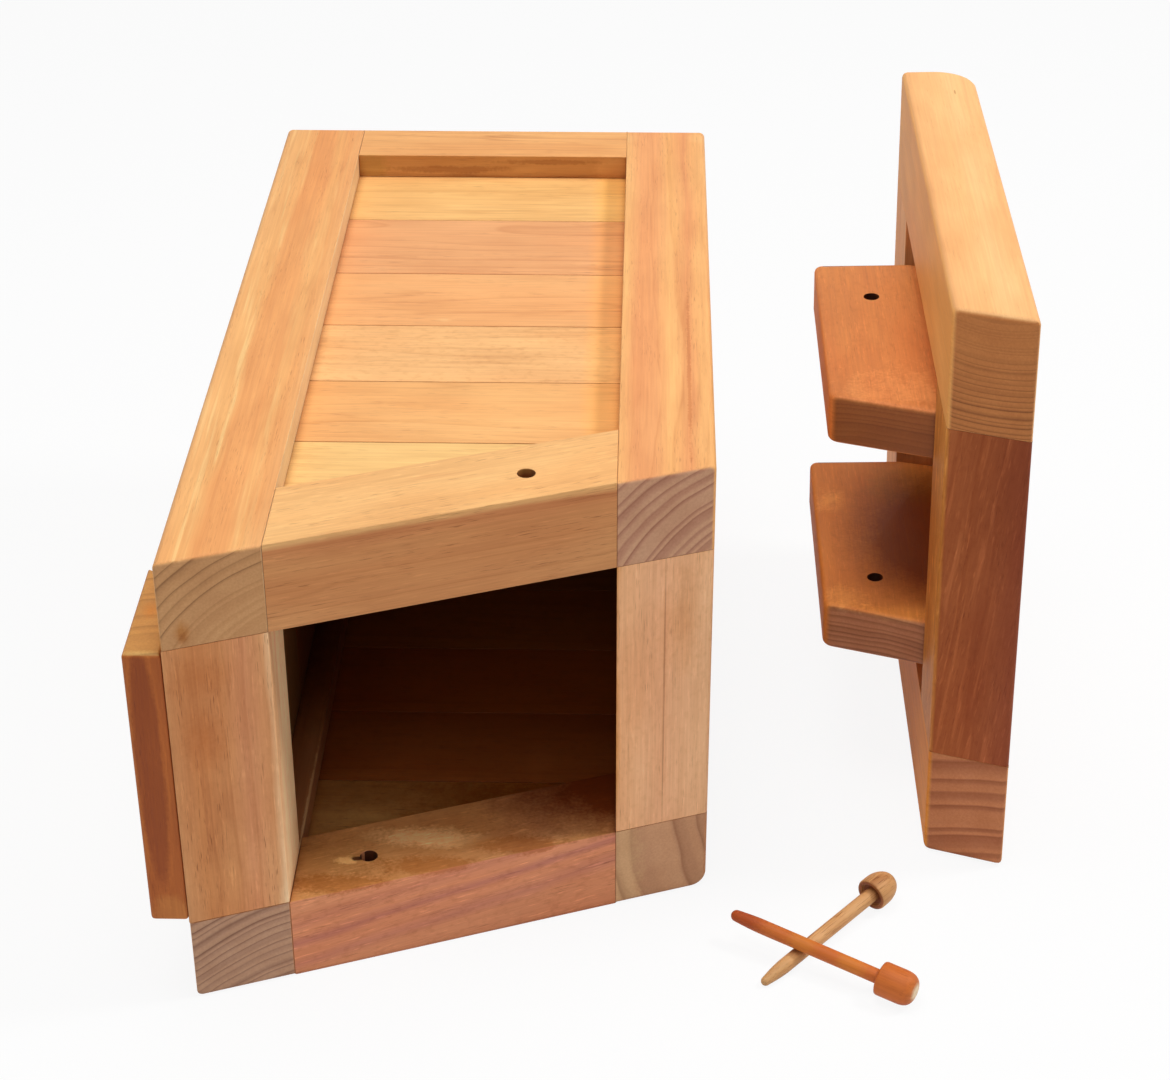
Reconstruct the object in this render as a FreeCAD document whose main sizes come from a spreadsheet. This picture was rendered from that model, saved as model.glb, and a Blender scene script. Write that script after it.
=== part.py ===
import FreeCAD, Part
import math
import os
import Sketcher

# Driving dimensions in millimetres and degrees
DIMENSIONS = [
    ("box_depth", 200.0),
    ("box_width", 200.0),
    ("back_height", 394.0),
    ("front_height", 320.0),
    ("post", 37.0),
    ("post_round", 2.5),
    ("soft_round", 6.0),
    ("top_rail", 38.0),
    ("bottom_rail", 31.0),
    ("recess", 11.0),
    ("board", 14.0),
    ("groove", 8.0),
    ("board_entry", 7.5),
    ("tongue", 4.0),
    ("joint_gap", 0.4),
    ("wide_cover", 56.0),
    ("board_cover", 50.0),
    ("tenon_thick", 12.0),
    ("tenon_long", 12.0),
    ("tenon_shoulder", 12.0),
    ("tenon_high", 17.0),
    ("low_shoulder", 5.0),
    ("low_tenon", 15.0),
    ("floor_low", 8.0),
    ("floor_thick", 12.0),
    ("peg_hole", 6.8),
    ("peg_hole_depth", 18.0),
    ("right_hole_at", 129.0),
    ("left_hole_at", 65.0),
    ("entrance", 32.0),
    ("hanger_thick", 14.5),
    ("hanger_high", 60.0),
    ("hanger_long", 123.0),
    ("hanger_screw_low", 22.0),
    ("hanger_screw_apart", 60.0),
    ("screw", 4.5),
    ("screw_head", 8.0),
    ("screw_head_high", 3.0),
    ("screw_bite", 24.0),
    ("roof_width", 254.0),
    ("roof_long", 238.0),
    ("roof_thick", 31.5),
    ("roof_round", 18.0),
    ("roof_stile", 51.0),
    ("roof_rear_rail", 39.0),
    ("roof_front_rail", 49.5),
    ("roof_tenon_long", 20.0),
    ("roof_tenon_low", 9.0),
    ("roof_tenon_thick", 8.0),
    ("roof_tenon_inset", 10.0),
    ("batten_apart", 122.0),
    ("batten_thick", 22.0),
    ("batten_proud", 41.0),
    ("batten_play", 1.0),
    ("batten_flare", 4.3),
    ("batten_round", 2.5),
    ("batten_screw_inset", 22.0),
    ("roof_stand_x", 292.5),
    ("roof_stand_y", -295.4),
    ("roof_lean", -1.36),
    ("peg", 6.0),
    ("peg_long", 66.0),
    ("peg_taper", 14.0),
    ("peg_tip", 3.8),
    ("peg_head", 14.0),
    ("peg_head_long", 15.5),
    ("peg_head_round", 5.0),
    ("peg_head_bore", 9.5),
    ("peg_cup", 10.0),
    ("peg_cup_deep", 2.5),
    ("peg_gap", 0.3),
    ("under_peg_x", 266.4),
    ("under_peg_y", -335.3),
    ("under_peg_turn", 47.0),
    ("over_peg_x", 267.2),
    ("over_peg_y", -385.4),
    ("over_peg_turn", -29.5),
    ("origin_x", 0.0),
    ("origin_y", 0.0),
]
BACK_BOARDS = 6
FLOOR_BOARDS = 3
ROOF_BOARDS = 3
NARROW_SIDE_BOARDS = 3
TIP_ROUND_SHARE = 0.8
HEAD_STEPS = 3
TIP_STEPS = 2
CLOSE = 1e-3

doc = FreeCAD.newDocument("nest_box")
sheet = doc.addObject("Spreadsheet::Sheet", "dims")
for row, (alias, value) in enumerate(DIMENSIONS, start=1):
    sheet.set("A%d" % row, alias)
    sheet.set("B%d" % row, str(value))
    sheet.setAlias("B%d" % row, alias)
doc.recompute()


class Size:
    """A length with its value and the sheet expression that it is bound to."""

    def __init__(self, value, text):
        self.value = value
        self.text = text

    def __add__(self, other):
        other = sized(other)
        return Size(self.value + other.value, "(%s + %s)" % (self.text, other.text))

    def __sub__(self, other):
        other = sized(other)
        return Size(self.value - other.value, "(%s - %s)" % (self.text, other.text))

    def __mul__(self, other):
        other = sized(other)
        return Size(self.value * other.value, "(%s * %s)" % (self.text, other.text))

    def __truediv__(self, other):
        other = sized(other)
        return Size(self.value / other.value, "(%s / %s)" % (self.text, other.text))


def sized(number):
    return number if isinstance(number, Size) else Size(float(number), repr(float(number)))


def root(size):
    return Size(math.sqrt(size.value), "sqrt(%s)" % size.text)


class Dims:
    """The sheet's driving dimensions as named sizes."""


d = Dims()
for alias, value in DIMENSIONS:
    setattr(d, alias, Size(value, "dims.%s" % alias))
zero = sized(0.0)

# The slanted top: heights fall from the back to the front
fall = (d.back_height - d.front_height) / d.box_depth
stretch = root(fall * fall + 1.0)
rail_drop = d.top_rail * stretch
inner_front = d.box_depth - d.post


def top_at(x):
    return d.back_height - fall * x


# The box lies on its left side and the roof stands on its left edge beside it
def box_place():
    turn = FreeCAD.Rotation(FreeCAD.Vector(1, 0, 0), 180)
    base = FreeCAD.Vector(-d.origin_x.value, -d.origin_y.value, d.box_width.value)
    return FreeCAD.Placement(base, turn)


def roof_place():
    foot = FreeCAD.Vector(d.roof_stand_x.value - d.origin_x.value, d.roof_stand_y.value - d.origin_y.value, 0)
    lean = FreeCAD.Placement(foot, FreeCAD.Rotation(FreeCAD.Vector(0, 1, 0), d.roof_lean.value))
    stand = FreeCAD.Rotation(FreeCAD.Vector(1, 1, 0), 180)
    return lean * FreeCAD.Placement(FreeCAD.Vector(0, 0, d.roof_width.value), stand)


pieces = []


def origin_plane(body, role):
    return next(plane for plane in body.Origin.OriginFeatures if plane.Role == role)


def new_body(label, place):
    body = doc.addObject("PartDesign::Body", label)
    body.Label = label
    pieces.append((body, place))
    return body


def new_sketch(body, role, level):
    sketch = body.newObject("Sketcher::SketchObject", body.Name + "_outline")
    sketch.AttachmentSupport = [(origin_plane(body, role), "")]
    sketch.MapMode = "FlatFace"
    sketch.setExpression("AttachmentOffset.Base.z", level.text)
    return sketch


def hold(sketch, kind, geometry, point, size):
    """Hold one point of a sketch at a signed distance from the sketch's origin."""
    if size.text == zero.text:
        axis = -2 if kind == "DistanceX" else -1
        sketch.addConstraint(Sketcher.Constraint("PointOnObject", geometry, point, axis))
        return
    index = sketch.addConstraint(Sketcher.Constraint(kind, -1, 1, geometry, point, size.value))
    sketch.setExpression("Constraints[%d]" % index, size.text)


def draw_outline(sketch, corners):
    """A closed run of straight lines with every corner held by the sheet."""
    corners = [(sized(x), sized(y)) for x, y in corners]
    spots = [FreeCAD.Vector(x.value, y.value, 0) for x, y in corners]
    count = len(spots)
    for i in range(count):
        sketch.addGeometry(Part.LineSegment(spots[i], spots[(i + 1) % count]), False)
    for i in range(count):
        sketch.addConstraint(Sketcher.Constraint("Coincident", i, 2, (i + 1) % count, 1))
    for i, (x, y) in enumerate(corners):
        hold(sketch, "DistanceX", i, 1, x)
        hold(sketch, "DistanceY", i, 1, y)


def draw_circle(sketch, x, y, across):
    radius = across / 2.0
    centre = FreeCAD.Vector(x.value, y.value, 0)
    sketch.addGeometry(Part.Circle(centre, FreeCAD.Vector(0, 0, 1), radius.value), False)
    hold(sketch, "DistanceX", 0, 3, x)
    hold(sketch, "DistanceY", 0, 3, y)
    index = sketch.addConstraint(Sketcher.Constraint("Radius", 0, radius.value))
    sketch.setExpression("Constraints[%d]" % index, radius.text)


def pad(body, corners, low, high):
    sketch = new_sketch(body, "XY_Plane", sized(low))
    draw_outline(sketch, corners)
    feature = body.newObject("PartDesign::Pad", body.Name + "_pad")
    feature.Profile = sketch
    feature.setExpression("Length", (sized(high) - low).text)
    return feature


def pocket(body, corners, low, high):
    sketch = new_sketch(body, "XY_Plane", sized(high))
    draw_outline(sketch, corners)
    feature = body.newObject("PartDesign::Pocket", body.Name + "_pocket")
    feature.Profile = sketch
    feature.setExpression("Length", (sized(high) - low).text)
    return feature


def bore(body, role, level, x, y, across, deep=None, forward=False):
    """A round hole square to an origin plane: through everything, or to a depth."""
    sketch = new_sketch(body, role, sized(level))
    draw_circle(sketch, sized(x), sized(y), sized(across))
    feature = body.newObject("PartDesign::Pocket", body.Name + "_bore")
    feature.Profile = sketch
    feature.Reversed = forward
    if deep is None:
        feature.Type = "ThroughAll"
    else:
        feature.setExpression("Length", deep.text)
    return feature


def round_edges(body, radius, chosen):
    """Round the edges of the body whose two ends both satisfy the choice."""
    doc.recompute()
    base = body.Tip
    names = []
    for i, edge in enumerate(base.Shape.Edges, start=1):
        if all(chosen(vertex.Point) for vertex in edge.Vertexes):
            names.append("Edge%d" % i)
    feature = body.newObject("PartDesign::Fillet", body.Name + "_round")
    feature.Base = (base, names)
    feature.setExpression("Radius", radius.text)


def near(value, size):
    return abs(value - sized(size).value) < CLOSE


def box_outline(x_low, x_high, y_low, y_high):
    return [(x_low, y_low), (x_high, y_low), (x_high, y_high), (x_low, y_high)]


def sloped_outline(x_low, x_high, below_low, below_high):
    """An outline that follows the slanted top at two distances below it."""
    return [(x_low, top_at(x_low) - below_low), (x_high, top_at(x_high) - below_low),
            (x_high, top_at(x_high) - below_high), (x_low, top_at(x_low) - below_high)]


# The box is drawn in side view, depth across and height up, and padded over its width
def across(side, low, high):
    """A range over the width, counted inwards from the right or the left side."""
    if side == "right":
        return sized(low), sized(high)
    return d.box_width - high, d.box_width - low


def along(end, low, high):
    """A range over the depth, counted inwards from the back or the front."""
    if end == "back":
        return sized(low), sized(high)
    return d.box_depth - high, d.box_depth - low


tenon_low = (d.post - d.tenon_thick) / 2.0
tenon_high = tenon_low + d.tenon_thick
mortise_low = d.post - d.tenon_long
groove_low = d.post - d.groove
board_back = d.recess + d.board
end_rail_low = {
    "back": top_at(d.post / 2.0) - rail_drop,
    "front": top_at(d.box_depth - d.post / 2.0) - rail_drop,
}
high_tenon_low = rail_drop - d.tenon_shoulder
high_tenon_high = high_tenon_low - d.tenon_high
low_tenon_high = d.low_shoulder + d.low_tenon
board_start = d.bottom_rail - d.board_entry
board_rise = rail_drop - d.board_entry
groove_rise = rail_drop - d.groove


def make_post(end, side):
    body = new_body("%s_%s_post" % (end, side), box_place)
    x_low, x_high = along(end, zero, d.post)
    w_low, w_high = across(side, zero, d.post)
    pad(body, [(x_low, zero), (x_high, zero), (x_high, top_at(x_high)), (x_low, top_at(x_low))], w_low, w_high)
    groove_x = along(end, groove_low, d.post)
    groove_w = across(side, d.recess, board_back)
    bottom = d.bottom_rail - d.groove
    pocket(body, [(groove_x[0], bottom), (groove_x[1], bottom),
                  (groove_x[1], top_at(groove_x[1]) - groove_rise),
                  (groove_x[0], top_at(groove_x[0]) - groove_rise)], *groove_w)
    panel_x = along(end, d.recess, board_back)
    panel_w = across(side, groove_low, d.post)
    pocket(body, box_outline(*panel_x, bottom, end_rail_low[end] + d.groove), *panel_w)
    mortise_x = along(end, mortise_low, d.post)
    mortise_w = across(side, tenon_low, tenon_high)
    pocket(body, sloped_outline(*mortise_x, high_tenon_low, high_tenon_high), *mortise_w)
    pocket(body, box_outline(*mortise_x, d.low_shoulder, low_tenon_high), *mortise_w)
    cross_x = along(end, tenon_low, tenon_high)
    cross_w = across(side, mortise_low, d.post)
    cross_low = end_rail_low[end] + d.tenon_shoulder
    pocket(body, box_outline(*cross_x, cross_low, cross_low + d.tenon_high), *cross_w)
    pocket(body, box_outline(*cross_x, d.low_shoulder, low_tenon_high), *cross_w)
    corner_x = zero if end == "back" else d.box_depth
    corner_w = zero if side == "right" else d.box_width
    radius = d.soft_round if (end, side) == ("front", "left") else d.post_round
    round_edges(body, radius, lambda p: near(p.x, corner_x) and near(p.z, corner_w))


def make_side_rails(side, hole_at):
    body = new_body("%s_top_rail" % side, box_place)
    w_low, w_high = across(side, zero, d.post)
    tenon_w = across(side, tenon_low, tenon_high)
    groove_w = across(side, d.recess, board_back)
    reach_low, reach_high = mortise_low, d.box_depth - mortise_low
    pad(body, sloped_outline(d.post, inner_front, rail_drop, zero), w_low, w_high)
    pad(body, sloped_outline(reach_low, reach_high, high_tenon_low, high_tenon_high), *tenon_w)
    pocket(body, sloped_outline(d.post, inner_front, rail_drop, groove_rise), *groove_w)
    bore(body, "XY_Plane", d.box_width, hole_at, top_at(hole_at) - d.peg_hole_depth * stretch, d.peg_hole)
    body = new_body("%s_bottom_rail" % side, box_place)
    floor_w = across(side, groove_low, d.post)
    pad(body, box_outline(d.post, inner_front, zero, d.bottom_rail), w_low, w_high)
    pad(body, box_outline(reach_low, reach_high, d.low_shoulder, low_tenon_high), *tenon_w)
    pocket(body, box_outline(d.post, inner_front, d.bottom_rail - d.groove, d.bottom_rail), *groove_w)
    pocket(body, box_outline(d.post, inner_front, d.floor_low, d.floor_low + d.floor_thick), *floor_w)


def make_end_rails(end):
    body = new_body("%s_top_rail" % end, box_place)
    x_low, x_high = along(end, zero, d.post)
    tenon_x = along(end, tenon_low, tenon_high)
    groove_x = along(end, d.recess, board_back)
    low = end_rail_low[end]
    inner_w = d.post, d.box_width - d.post
    reach_w = mortise_low, d.box_width - mortise_low
    pad(body, [(x_low, low), (x_high, low), (x_high, top_at(x_high)), (x_low, top_at(x_low))], *inner_w)
    tenon_from = low + d.tenon_shoulder
    pad(body, box_outline(*tenon_x, tenon_from, tenon_from + d.tenon_high), *reach_w)
    pocket(body, box_outline(*groove_x, low, low + d.groove), *inner_w)
    if end == "back":
        for w in hanger_screw_w:
            bore(body, "YZ_Plane", zero, hanger_screw_h, w, d.screw, d.screw_bite, True)
    body = new_body("%s_bottom_rail" % end, box_place)
    floor_x = along(end, groove_low, d.post)
    pad(body, box_outline(x_low, x_high, zero, d.bottom_rail), *inner_w)
    pad(body, box_outline(*tenon_x, d.low_shoulder, low_tenon_high), *reach_w)
    pocket(body, box_outline(*groove_x, d.bottom_rail - d.groove, d.bottom_rail), *inner_w)
    pocket(body, box_outline(*floor_x, d.floor_low, d.floor_low + d.floor_thick), *inner_w)


board_ends = d.post - d.board_entry, inner_front + d.board_entry
side_joints = [board_start, d.bottom_rail + d.wide_cover - d.board_entry]
side_joints.append(side_joints[-1] + d.wide_cover)
for _ in range(NARROW_SIDE_BOARDS):
    side_joints.append(side_joints[-1] + d.board_cover)


def make_side_boards(side):
    tongue_w = across(side, d.recess + d.board / 3.0, d.recess + d.board * 2.0 / 3.0)
    board_w = across(side, d.recess, board_back)
    x_low, x_high = board_ends
    last = len(side_joints) - 1
    for i, low in enumerate(side_joints):
        body = new_body("%s_board_%d" % (side, i + 1), box_place)
        if i == last:
            pad(body, [(x_low, low), (x_high, low), (x_high, top_at(x_high) - board_rise),
                       (x_low, top_at(x_low) - board_rise)], *board_w)
        else:
            high = side_joints[i + 1] - d.joint_gap
            pad(body, box_outline(x_low, x_high, low, high), *board_w)
            pad(body, box_outline(x_low, x_high, high - d.joint_gap, high + d.tongue), *tongue_w)
        if i > 0:
            pocket(body, box_outline(x_low, x_high, low, low + d.tongue), *tongue_w)


def make_end_boards(end, joints, finish):
    board_x = along(end, d.recess, board_back)
    tongue_x = along(end, d.recess + d.board / 3.0, d.recess + d.board * 2.0 / 3.0)
    reach_w = d.post - d.board_entry, d.box_width - d.post + d.board_entry
    last = len(joints) - 1
    for i, low in enumerate(joints):
        body = new_body("%s_board_%d" % (end, i + 1), box_place)
        high = finish if i == last else joints[i + 1] - d.joint_gap
        pad(body, box_outline(*board_x, low, high), *reach_w)
        if i < last:
            pad(body, box_outline(*tongue_x, high - d.joint_gap, high + d.tongue), *reach_w)
        if i > 0:
            pocket(body, box_outline(*tongue_x, low, low + d.tongue), *reach_w)
        if end == "front" and i == last:
            middle = (low + end_rail_low["front"]) / 2.0
            bore(body, "YZ_Plane", d.box_depth, middle, d.box_width / 2.0, d.entrance)


def make_floor():
    start = d.post - d.board_entry
    cover = (d.box_depth - start * 2.0) / FLOOR_BOARDS
    floor_h = d.floor_low, d.floor_low + d.floor_thick
    inner_w = d.post, d.box_width - d.post
    reach_w = d.post - d.board_entry, d.box_width - d.post + d.board_entry
    for i in range(FLOOR_BOARDS):
        body = new_body("floor_board_%d" % (i + 1), box_place)
        low = start + cover * i
        high = start + cover * (i + 1) - d.joint_gap
        pad(body, box_outline(low, high, *floor_h), *inner_w)
        tongue_low = d.post if i == 0 else low
        tongue_high = inner_front if i == FLOOR_BOARDS - 1 else high
        pad(body, box_outline(tongue_low, tongue_high, *floor_h), *reach_w)


def make_cylinder(name, across_size, high, place, base):
    cylinder = doc.addObject("Part::Cylinder", name)
    cylinder.setExpression("Radius", (sized(across_size) / 2.0).text)
    cylinder.setExpression("Height", sized(high).text)
    cylinder.Placement = place
    for axis, size in zip("xyz", base):
        cylinder.setExpression("Placement.Base.%s" % axis, sized(size).text)
    return cylinder


def make_screws(label, turn, seats, long, place):
    """Screws that share one node: a head and a shank at each seat, driven along one direction."""
    parts = []
    for seat in seats:
        spin = FreeCAD.Placement(FreeCAD.Vector(), turn)
        parts.append(make_cylinder(label + "_head", d.screw_head, d.screw_head_high, spin, seat[0]))
        parts.append(make_cylinder(label + "_shank", d.screw, long, spin, seat[1]))
    fuse = doc.addObject("Part::MultiFuse", label)
    fuse.Label = label
    fuse.Shapes = parts
    pieces.append((fuse, place))


# The hanging batten hooks over a wall batten by the slant of its lower edge
hanger_screw_h = d.back_height - d.hanger_screw_low
hanger_screw_w = [d.box_width / 2.0 - d.hanger_screw_apart / 2.0, d.box_width / 2.0 + d.hanger_screw_apart / 2.0]
hanger_back = zero - d.hanger_thick


def make_hanger():
    body = new_body("hanging_batten", box_place)
    low = d.back_height - d.hanger_high
    w_low = (d.box_width - d.hanger_long) / 2.0
    pad(body, [(hanger_back, low), (zero, low + d.hanger_thick), (zero, d.back_height), (hanger_back, d.back_height)],
        w_low, w_low + d.hanger_long)
    for w in hanger_screw_w:
        bore(body, "YZ_Plane", zero, hanger_screw_h, w, d.screw)
        bore(body, "YZ_Plane", hanger_back, hanger_screw_h, w, d.screw_head, d.screw_head_high, True)
    seats = []
    for w in hanger_screw_w:
        head = hanger_back, hanger_screw_h, w
        shank = hanger_back + d.screw_head_high, hanger_screw_h, w
        seats.append((head, shank))
    turn = FreeCAD.Rotation(FreeCAD.Vector(0, 1, 0), 90)
    long = d.hanger_thick - d.screw_head_high + d.screw_bite
    make_screws("hanging_batten_screws", turn, seats, long, box_place)


# The roof is drawn in side view, rear to front across and inside to outside up
roof_rear_out = zero - d.roof_thick * fall
roof_board_low = d.roof_thick - d.board
recess_q = d.roof_rear_rail, d.roof_long - d.roof_front_rail
rebate_q = recess_q[0] - d.groove, recess_q[1] + d.groove
inner_v = d.roof_stile, d.roof_width - d.roof_stile
rear_tenon_q = d.roof_tenon_inset, d.roof_rear_rail - d.roof_tenon_inset
front_tenon_q = recess_q[1] + d.roof_tenon_inset, d.roof_long - d.roof_tenon_inset
roof_tenon_t = d.roof_tenon_low, d.roof_tenon_low + d.roof_tenon_thick
tenon_reach_v = d.roof_stile - d.roof_tenon_long, d.roof_width - d.roof_stile + d.roof_tenon_long


def over_roof(side, low, high):
    if side == "right":
        return sized(low), sized(high)
    return d.roof_width - high, d.roof_width - low


def make_roof_frame():
    for side in ("right", "left"):
        body = new_body("roof_%s_stile" % side, roof_place)
        pad(body, [(zero, zero), (d.roof_long, zero), (d.roof_long, d.roof_thick), (roof_rear_out, d.roof_thick)],
            *over_roof(side, zero, d.roof_stile))
        pocket(body, box_outline(*rebate_q, roof_board_low, d.roof_thick),
               *over_roof(side, d.roof_stile - d.groove, d.roof_stile))
        mortise_v = over_roof(side, d.roof_stile - d.roof_tenon_long, d.roof_stile)
        pocket(body, box_outline(*rear_tenon_q, *roof_tenon_t), *mortise_v)
        pocket(body, box_outline(*front_tenon_q, *roof_tenon_t), *mortise_v)
        round_edges(body, d.roof_round, lambda p: near(p.x, d.roof_long) and near(p.y, d.roof_thick))
    body = new_body("roof_rear_rail", roof_place)
    pad(body, [(zero, zero), (d.roof_rear_rail, zero), (d.roof_rear_rail, d.roof_thick),
               (roof_rear_out, d.roof_thick)], *inner_v)
    pad(body, box_outline(*rear_tenon_q, *roof_tenon_t), *tenon_reach_v)
    pocket(body, box_outline(rebate_q[0], recess_q[0], roof_board_low, d.roof_thick), *inner_v)
    body = new_body("roof_front_rail", roof_place)
    pad(body, box_outline(recess_q[1], d.roof_long, zero, d.roof_thick), *inner_v)
    pad(body, box_outline(*front_tenon_q, *roof_tenon_t), *tenon_reach_v)
    pocket(body, box_outline(recess_q[1], rebate_q[1], roof_board_low, d.roof_thick), *inner_v)
    round_edges(body, d.roof_round, lambda p: near(p.x, d.roof_long) and near(p.y, d.roof_thick))


# The battens under the roof just enter the open top of the box
seat_low = d.post * stretch + d.batten_play
seat_high = inner_front * stretch - d.batten_play
batten_slant = d.batten_proud * fall
batten_v = {"right": (d.roof_width - d.batten_apart) / 2.0}
batten_v["left"] = batten_v["right"] + d.batten_apart - d.batten_thick
batten_screw_q = [seat_low + d.batten_screw_inset, seat_high - d.batten_screw_inset / 2.0]


def batten_hole_q(hole_at):
    return (hole_at + d.peg_hole_depth * fall / stretch) * stretch


def make_roof_boards():
    start = rebate_q[0] + d.joint_gap
    cover = (rebate_q[1] - start) / ROOF_BOARDS
    reach_v = d.roof_stile - d.board_entry, d.roof_width - d.roof_stile + d.board_entry
    third = d.board / 3.0
    tongue_t = roof_board_low + third, d.roof_thick - third
    for i in range(ROOF_BOARDS):
        body = new_body("roof_board_%d" % (i + 1), roof_place)
        low = start + cover * i
        high = start + cover * (i + 1) - d.joint_gap
        pad(body, box_outline(low, high, roof_board_low, d.roof_thick), *reach_v)
        if i < ROOF_BOARDS - 1:
            pad(body, box_outline(high - d.joint_gap, high + d.tongue, *tongue_t), *reach_v)
        if i > 0:
            pocket(body, box_outline(low, low + d.tongue, *tongue_t), *reach_v)
        for q in batten_screw_q:
            if low.value < q.value < high.value:
                for v in batten_v.values():
                    middle = v + d.batten_thick / 2.0
                    bore(body, "XZ_Plane", zero, q, middle, d.screw)
                    bore(body, "XZ_Plane", zero - d.roof_thick, q, middle, d.screw_head, d.screw_head_high, True)


def make_battens():
    for side, hole_at in (("right", d.right_hole_at), ("left", d.left_hole_at)):
        body = new_body("roof_%s_batten" % side, roof_place)
        v = batten_v[side]
        tip = zero - d.batten_proud
        pad(body, [(seat_low, roof_board_low), (seat_low, zero), (seat_low + batten_slant, tip),
                   (seat_high + d.batten_flare, tip), (seat_high, zero), (seat_high, roof_board_low)],
            v, v + d.batten_thick)
        bore(body, "XY_Plane", d.roof_width, batten_hole_q(hole_at), zero - d.peg_hole_depth, d.peg_hole)
        for q in batten_screw_q:
            bore(body, "XZ_Plane", zero - roof_board_low, q, v + d.batten_thick / 2.0, d.screw, d.screw_bite, True)
        round_edges(body, d.batten_round, lambda p: near(p.y, tip))
    seats = []
    for v in batten_v.values():
        for q in batten_screw_q:
            middle = v + d.batten_thick / 2.0
            head = q, d.roof_thick, middle
            shank = q, d.roof_thick - d.screw_head_high, middle
            seats.append((head, shank))
    turn = FreeCAD.Rotation(FreeCAD.Vector(1, 0, 0), 90)
    long = d.board - d.screw_head_high + d.screw_bite
    make_screws("roof_batten_screws", turn, seats, long, roof_place)


# Each peg is a tapered shank glued into a turned head
def revolve(body, corners):
    sketch = new_sketch(body, "XY_Plane", zero)
    draw_outline(sketch, corners)
    feature = body.newObject("PartDesign::Revolution", body.Name + "_turned")
    feature.Profile = sketch
    feature.ReferenceAxis = (sketch, ["H_Axis"])
    feature.Angle = 360.0
    return feature


def turned_end(end, radius, round_off, way, steps):
    """Profile corners of a rounded end in short straight steps, from the axis out to the full radius."""
    corners = []
    for step in range(steps + 1):
        turn = math.radians(90.0 * step / steps)
        back = round_off * (1.0 - math.cos(turn)) * way
        corners.append((end - back, radius - round_off + round_off * math.sin(turn)))
    return corners


def make_peg(name, place):
    radius = d.peg / 2.0
    tip = d.peg_tip / 2.0
    head = d.peg_head / 2.0
    cup = d.peg_cup / 2.0
    point = zero - d.peg_long
    body = new_body(name + "_shank", place)
    tip_corners = turned_end(point, tip, tip * TIP_ROUND_SHARE, -1.0, TIP_STEPS)
    revolve(body, [(d.peg_head_bore, zero), (d.peg_head_bore, radius), (point + d.peg_taper, radius)]
            + tip_corners[::-1] + [(point, zero)])
    body = new_body(name + "_head", place)
    revolve(body, [(d.peg_head_bore, zero), (d.peg_head_long, zero)]
            + turned_end(d.peg_head_long, head, d.peg_head_round, 1.0, HEAD_STEPS)
            + [(zero, head), (zero, cup), (d.peg_cup_deep, cup), (d.peg_cup_deep, radius), (d.peg_head_bore, radius)])


def lying(x, y, turn, rise, neck_high):
    """A peg with its neck at a place, turned in plan, its head raised or lowered by an angle."""
    spin = FreeCAD.Rotation(FreeCAD.Vector(0, 0, 1), turn) * FreeCAD.Rotation(FreeCAD.Vector(0, 1, 0), -rise)
    return FreeCAD.Placement(FreeCAD.Vector(x - d.origin_x.value, y - d.origin_y.value, neck_high), spin)


def peg_rest():
    """Heights and tilts of the crossed pegs: one lies on its head and its taper's shoulder, the other over it."""
    head = d.peg_head.value / 2.0
    under_rise = math.asin((head - d.peg.value / 2.0) / (d.peg_long.value - d.peg_taper.value))
    under_turn = math.radians(d.under_peg_turn.value)
    over_turn = math.radians(d.over_peg_turn.value)
    gap_x = d.over_peg_x.value - d.under_peg_x.value
    gap_y = d.over_peg_y.value - d.under_peg_y.value
    twist = math.sin(over_turn - under_turn)
    under_at = (gap_x * math.sin(over_turn) - gap_y * math.cos(over_turn)) / twist
    over_at = (gap_x * math.sin(under_turn) - gap_y * math.cos(under_turn)) / twist
    cross_high = head + under_at * math.tan(under_rise) + d.peg.value + d.peg_gap.value
    shoulder = d.peg_head_long.value - d.peg_head_round.value
    over_rise = math.atan((cross_high - head) / (over_at - shoulder))
    over_neck = head - shoulder * math.tan(over_rise)
    return math.degrees(under_rise), head, math.degrees(over_rise), over_neck


def under_place():
    rise, high, _, _ = peg_rest()
    return lying(d.under_peg_x.value, d.under_peg_y.value, d.under_peg_turn.value, rise, high)


def over_place():
    _, _, rise, high = peg_rest()
    return lying(d.over_peg_x.value, d.over_peg_y.value, d.over_peg_turn.value, rise, high)


for end_name in ("back", "front"):
    for side_name in ("right", "left"):
        make_post(end_name, side_name)
make_side_rails("right", d.right_hole_at)
make_side_rails("left", d.left_hole_at)
make_end_rails("back")
make_end_rails("front")
make_side_boards("right")
make_side_boards("left")
back_finish = end_rail_low["back"] + d.board_entry
back_cover = (end_rail_low["back"] - d.bottom_rail) / BACK_BOARDS
back_joints = [board_start] + [d.bottom_rail + back_cover * i for i in range(1, BACK_BOARDS)]
make_end_boards("back", back_joints, back_finish)
make_end_boards("front", side_joints[:-1], end_rail_low["front"] + d.board_entry)
make_floor()
make_hanger()
make_roof_frame()
make_roof_boards()
make_battens()
make_peg("under_peg", under_place)
make_peg("over_peg", over_place)
doc.recompute()


def lay_out():
    for piece, place in pieces:
        piece.Placement = place()
    doc.recompute()


# The origin is the middle of the whole set's underside
lay_out()
whole = FreeCAD.BoundBox()
for piece, _ in pieces:
    whole.add(piece.Shape.optimalBoundingBox(False, False))
for alias, value in (("origin_x", whole.Center.x), ("origin_y", whole.Center.y)):
    sheet.set(alias, str(round(value, 3)))
    setattr(d, alias, Size(round(value, 3), "dims.%s" % alias))
lay_out()

for thing in doc.Objects:
    if "Invalid" in thing.State or "Error" in thing.State:
        raise RuntimeError("%s did not rebuild" % thing.Label)
for piece, _ in pieces:
    if piece.Shape.isNull() or not piece.Shape.isValid():
        raise RuntimeError("%s has no valid shape" % piece.Label)

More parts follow.
